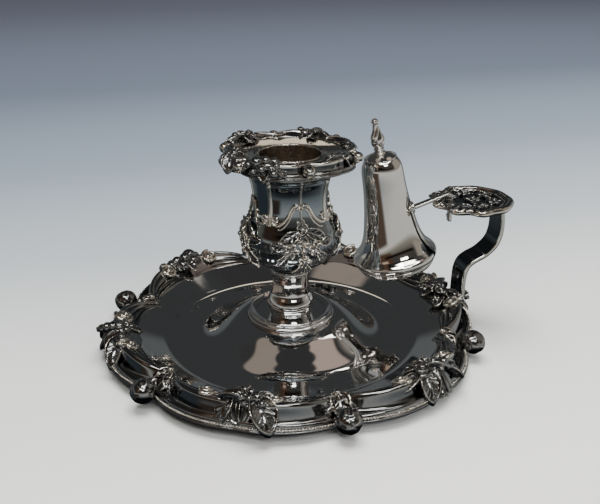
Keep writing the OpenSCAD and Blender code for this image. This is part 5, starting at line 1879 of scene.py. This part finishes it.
@dataclass
class Studio:
    """Camera, floor and light, matched to the photo."""

    # Floor colours at distances along +Y in metres: the paper's pale tone near the camera, darkening farther
    # off as painted shade
    paper: tuple[tuple[float, Colour], ...] = (
        (-0.1, (0.79, 0.79, 0.78)), (0.01, (0.59, 0.61, 0.60)), (0.1, (0.36, 0.40, 0.43)),
        (0.24, (0.19, 0.23, 0.28)), (0.5, (0.09, 0.11, 0.145)), (1.15, (0.06, 0.067, 0.09)))
    walls: tuple[tuple[float, Colour], ...] = (
        (-90, (0.005, 0.005, 0.006)), (-42, (0.01, 0.012, 0.013)), (-22, (0.34, 0.36, 0.36)),
        (-8, (0.54, 0.54, 0.52)), (2, (0.55, 0.55, 0.52)), (8, (0.23, 0.22, 0.19)),
        (22, (0.055, 0.05, 0.045)), (90, (0.038, 0.038, 0.04)))
    patches: tuple[Patch, ...] = (
        Patch("table_left", -156, 26, -30, -2, (0.07, 0.052, 0.04), 8),
        Patch("brown_wall", -152, 27, 12, 52, (0.07, 0.042, 0.027), 6),
        Patch("wall_window", -152, 9, 32, 42, (0.45, 0.34, 0.27)),
        Patch("gap_below_shelf", -95, 52, 21, 28, (0.009, 0.007, 0.006)),
        Patch("gap_below_lamps", -100, 50, 47, 54, (0.005, 0.005, 0.005)),
        Patch("right_wall", -4, 28, 10, 46, (0.29, 0.265, 0.23), 8),
        Patch("table_back_left", 150, 38, -38, 2, (0.052, 0.066, 0.075), 8),
        Patch("table_back", 78, 46, -32, -2, (0.14, 0.153, 0.153), 8),
        Patch("backdrop_low", 78, 50, -2, 24, (0.107, 0.115, 0.118), 8),
        Patch("backdrop_high", 84, 58, 18, 62, (0.044, 0.046, 0.047), 6),
        Patch("card_right", 2, 27, 52, 74, (0.475, 0.377, 0.32), 3),
        Patch("card_left", 146, 46, 60, 79, (0.29, 0.245, 0.205), 3),
        Patch("card_back", 40.5, 0.8, 54, 57, (0.59, 0.545, 0.475), 0.7),
        Patch("lamp_left", -122, 24, 56, 61, (18, 18, 17.6), 1.5),
        Patch("lamp_right", -62, 34, 56.5, 60.5, (7.8, 7.8, 7.4), 1.5),
        Patch("lamp_low", -86, 13, 39, 45, (13, 12.8, 12), 1.5),
    )
    cards: tuple[Card, ...] = (
        Card("overhead", (0.18, 0.42, 1.7), (1.5, 1.1), 66.0, (1.0, 0.985, 0.965)),
        Card("front_fill", (0.7, -1.2, 0.9), (0.9, 0.7), 10.0, (0.97, 0.98, 1.0)),
    )

    def build(self) -> None:
        """Sets the studio up."""
        self._camera()
        self._floor()
        self._room()
        for card in self.cards:
            self._light(card)
        self._mirrored_card()

    @staticmethod
    def _camera() -> None:
        """Places the camera where the photo was taken from."""
        data = bpy.data.cameras.new("camera")
        data.sensor_width = CAMERA_SENSOR
        data.lens = CAMERA_LENS
        data.clip_start = CAMERA_NEAR
        camera = scene_object("camera", data)
        camera.matrix_world = Matrix([*zip(*CAMERA_AXES, CAMERA_PLACE), (0, 0, 0, 1)])
        bpy.context.scene.camera = camera

    @staticmethod
    def _ramp(tree: NodeTree, value: NodeSocket, stops: Sequence[tuple[float, Colour]]) -> NodeSocket:
        """Colours a value by stops of position and colour, and returns the colour's socket."""
        ramp = add_node(tree, "ShaderNodeValToRGB", {0: value})
        ramp.color_ramp.elements.remove(ramp.color_ramp.elements[0])
        for k, (position, colour) in enumerate(stops):
            step = ramp.color_ramp.elements[0] if k == 0 else ramp.color_ramp.elements.new(position)
            step.position = position
            step.color = (*colour, 1.0)
        return ramp.outputs[0]

    def _floor(self) -> None:
        """Lays the pale paper, whose colour darkens away from the camera as painted shade."""
        material, shader = new_material("paper")
        tree = material.node_tree
        shader.inputs["Roughness"].default_value = 0.85
        where = add_node(tree, "ShaderNodeTexCoord").outputs["Object"]
        parts = add_node(tree, "ShaderNodeSeparateXYZ", {0: where})
        near, far = self.paper[0][0], self.paper[-1][0]
        share = add_node(tree, "ShaderNodeMapRange", {0: parts.outputs[1], 1: near, 2: far})
        stops = [((y - near) / (far - near), tone) for y, tone in self.paper]
        colour = self._ramp(tree, share.outputs[0], stops)
        wires = {"Vector": where, "Scale": FIBRES_PER_METRE, "Detail": 4.0}
        grain = add_node(tree, "ShaderNodeTexNoise", wires).outputs[0]
        fibre = add_node(tree, "ShaderNodeMapRange", {0: grain, 1: 0.3, 2: 0.7, 3: 0.985, 4: 1.0})
        wires = {0: colour, "Scale": fibre.outputs[0]}
        tint = add_node(tree, "ShaderNodeVectorMath", wires, operation="SCALE")
        tree.links.new(tint.outputs[0], shader.inputs["Base Color"])
        bump = add_node(tree, "ShaderNodeBump", {"Strength": 0.15, "Distance": FIBRE_HEIGHT, "Height": grain})
        tree.links.new(bump.outputs[0], shader.inputs["Normal"])
        corners = [(x * FLOOR_HALF, y * FLOOR_HALF) for x, y in ((-1, -1), (1, -1), (1, 1), (-1, 1))]
        floor = self._panel("floor", corners, material)
        floor.visible_glossy = False

    @staticmethod
    def _panel(name: str, corners: Sequence[tuple[float, float]],
               material: Material) -> Object:
        """Makes a flat panel of one face, from its corners in metres."""
        mesh = bpy.data.meshes.new(name)
        mesh.from_pydata([(x, y, 0.0) for x, y in corners], [], [tuple(range(len(corners)))])
        mesh.materials.append(material)
        return scene_object(name, mesh)

    def _mirrored_card(self) -> None:
        """Stands a small lit card behind the candlestick, which shows in the silver only."""
        material, shader = new_material("lit_card")
        shader.inputs["Base Color"].default_value = (0, 0, 0, 1)
        shader.inputs["Emission Color"].default_value = (*LIT_CARD_COLOUR, 1.0)
        shader.inputs["Emission Strength"].default_value = LIT_CARD_STRENGTH
        turns = circle(48)
        wide, tall = LIT_CARD_HALF
        corners = list(zip(wide * squared(np.cos(turns), 0.6), tall * squared(np.sin(turns), 0.6)))
        card = self._panel("lit_card", corners, material)
        card.matrix_world = turned_to(Vector(LIT_CARD_PLACE), Vector(LIT_CARD_AIM), "Z")
        for ray in ("camera", "diffuse", "shadow", "transmission"):
            setattr(card, "visible_" + ray, False)

    @staticmethod
    def _patch_mask() -> Graph:
        """Mask of a soft-edged patch of the room, from the direction that is looked in."""
        graph = Graph("patch_of_the_room", "ShaderNodeTree")
        look = graph.takes("Direction", Kind.VECTOR)
        way = graph.takes("Way", Kind.VECTOR)
        ends = {name: graph.takes(name, Kind.FLOAT) for name in PATCH_ENDS}
        flat = graph.add("ShaderNodeVectorMath", {0: look, 1: (1.0, 1.0, 0.0)}, operation="MULTIPLY")
        level = graph.add("ShaderNodeVectorMath", {0: flat.outputs[0]}, operation="NORMALIZE")
        facing = graph.add("ShaderNodeVectorMath", {0: level.outputs[0], 1: way}, operation="DOT_PRODUCT")
        height = graph.add("ShaderNodeSeparateXYZ", {0: look})
        steps = [graph.add("ShaderNodeMapRange", {0: value, 1: ends[edge + " start"], 2: ends[edge + " end"]},
                           interpolation_type="SMOOTHSTEP").outputs[0]
                 for value, edge in ((facing.outputs["Value"], "Side"), (height.outputs[2], "Low"),
                                     (height.outputs[2], "High"))]
        part = graph.sum("MULTIPLY", steps[0], steps[1])
        graph.gives("Mask", Kind.FLOAT, graph.sum("MULTIPLY", part, steps[2]))
        return graph

    def _room(self) -> None:
        """Surrounds the table with a dim room, in which soft patches stand for walls, cards and lamps."""
        world = bpy.data.worlds.new("room")
        bpy.context.scene.world = world
        world.use_nodes = True
        tree = world.node_tree
        look = add_node(tree, "ShaderNodeTexCoord").outputs["Generated"]
        parts = add_node(tree, "ShaderNodeSeparateXYZ", {0: look})
        share = add_node(tree, "ShaderNodeMapRange", {0: parts.outputs[2], 1: -1.0, 2: 1.0})
        stops = [((math.sin(math.radians(height)) + 1) / 2, tone) for height, tone in self.walls]
        colour = self._ramp(tree, share.outputs[0], stops)
        mask = self._patch_mask()
        for patch in self.patches:
            node = add_group(tree, mask, {"Direction": look, **patch.wires()})
            node.name = patch.name
            colour = add_mix(tree, node.outputs[0], colour, patch.light)
        glow = next(n for n in tree.nodes if n.type == "BACKGROUND")
        tree.links.new(colour, glow.inputs["Color"])
        glow.inputs["Strength"].default_value = 1.0

    @staticmethod
    def _light(card: Card) -> None:
        """Hangs one area light, which lights the paper and isn't mirrored."""
        data = bpy.data.lights.new(card.name, "AREA")
        data.shape = "RECTANGLE"
        data.size, data.size_y = card.size
        data.energy = card.power
        data.color = card.colour
        lamp = scene_object(card.name, data)
        lamp.matrix_world = turned_to(Vector(card.place), Vector(card.aim), "-Z")
        lamp.visible_camera = False
        lamp.visible_glossy = False


def main() -> None:
    """Builds the chamberstick and its studio."""
    logging.basicConfig(level=logging.INFO, format="%(message)s")
    effects = Effects()
    paints = {look: look.value.material(effects) for look in Look}
    repeats = Repeats()
    blossoms = Blossoms(repeats)
    for part in (Tray, Border, Stem, Urn, Handle, Nozzle, Extinguisher, Fixings):
        part(repeats, blossoms, paints).build()
    Studio().build()


if __name__ == "__main__":
    main()
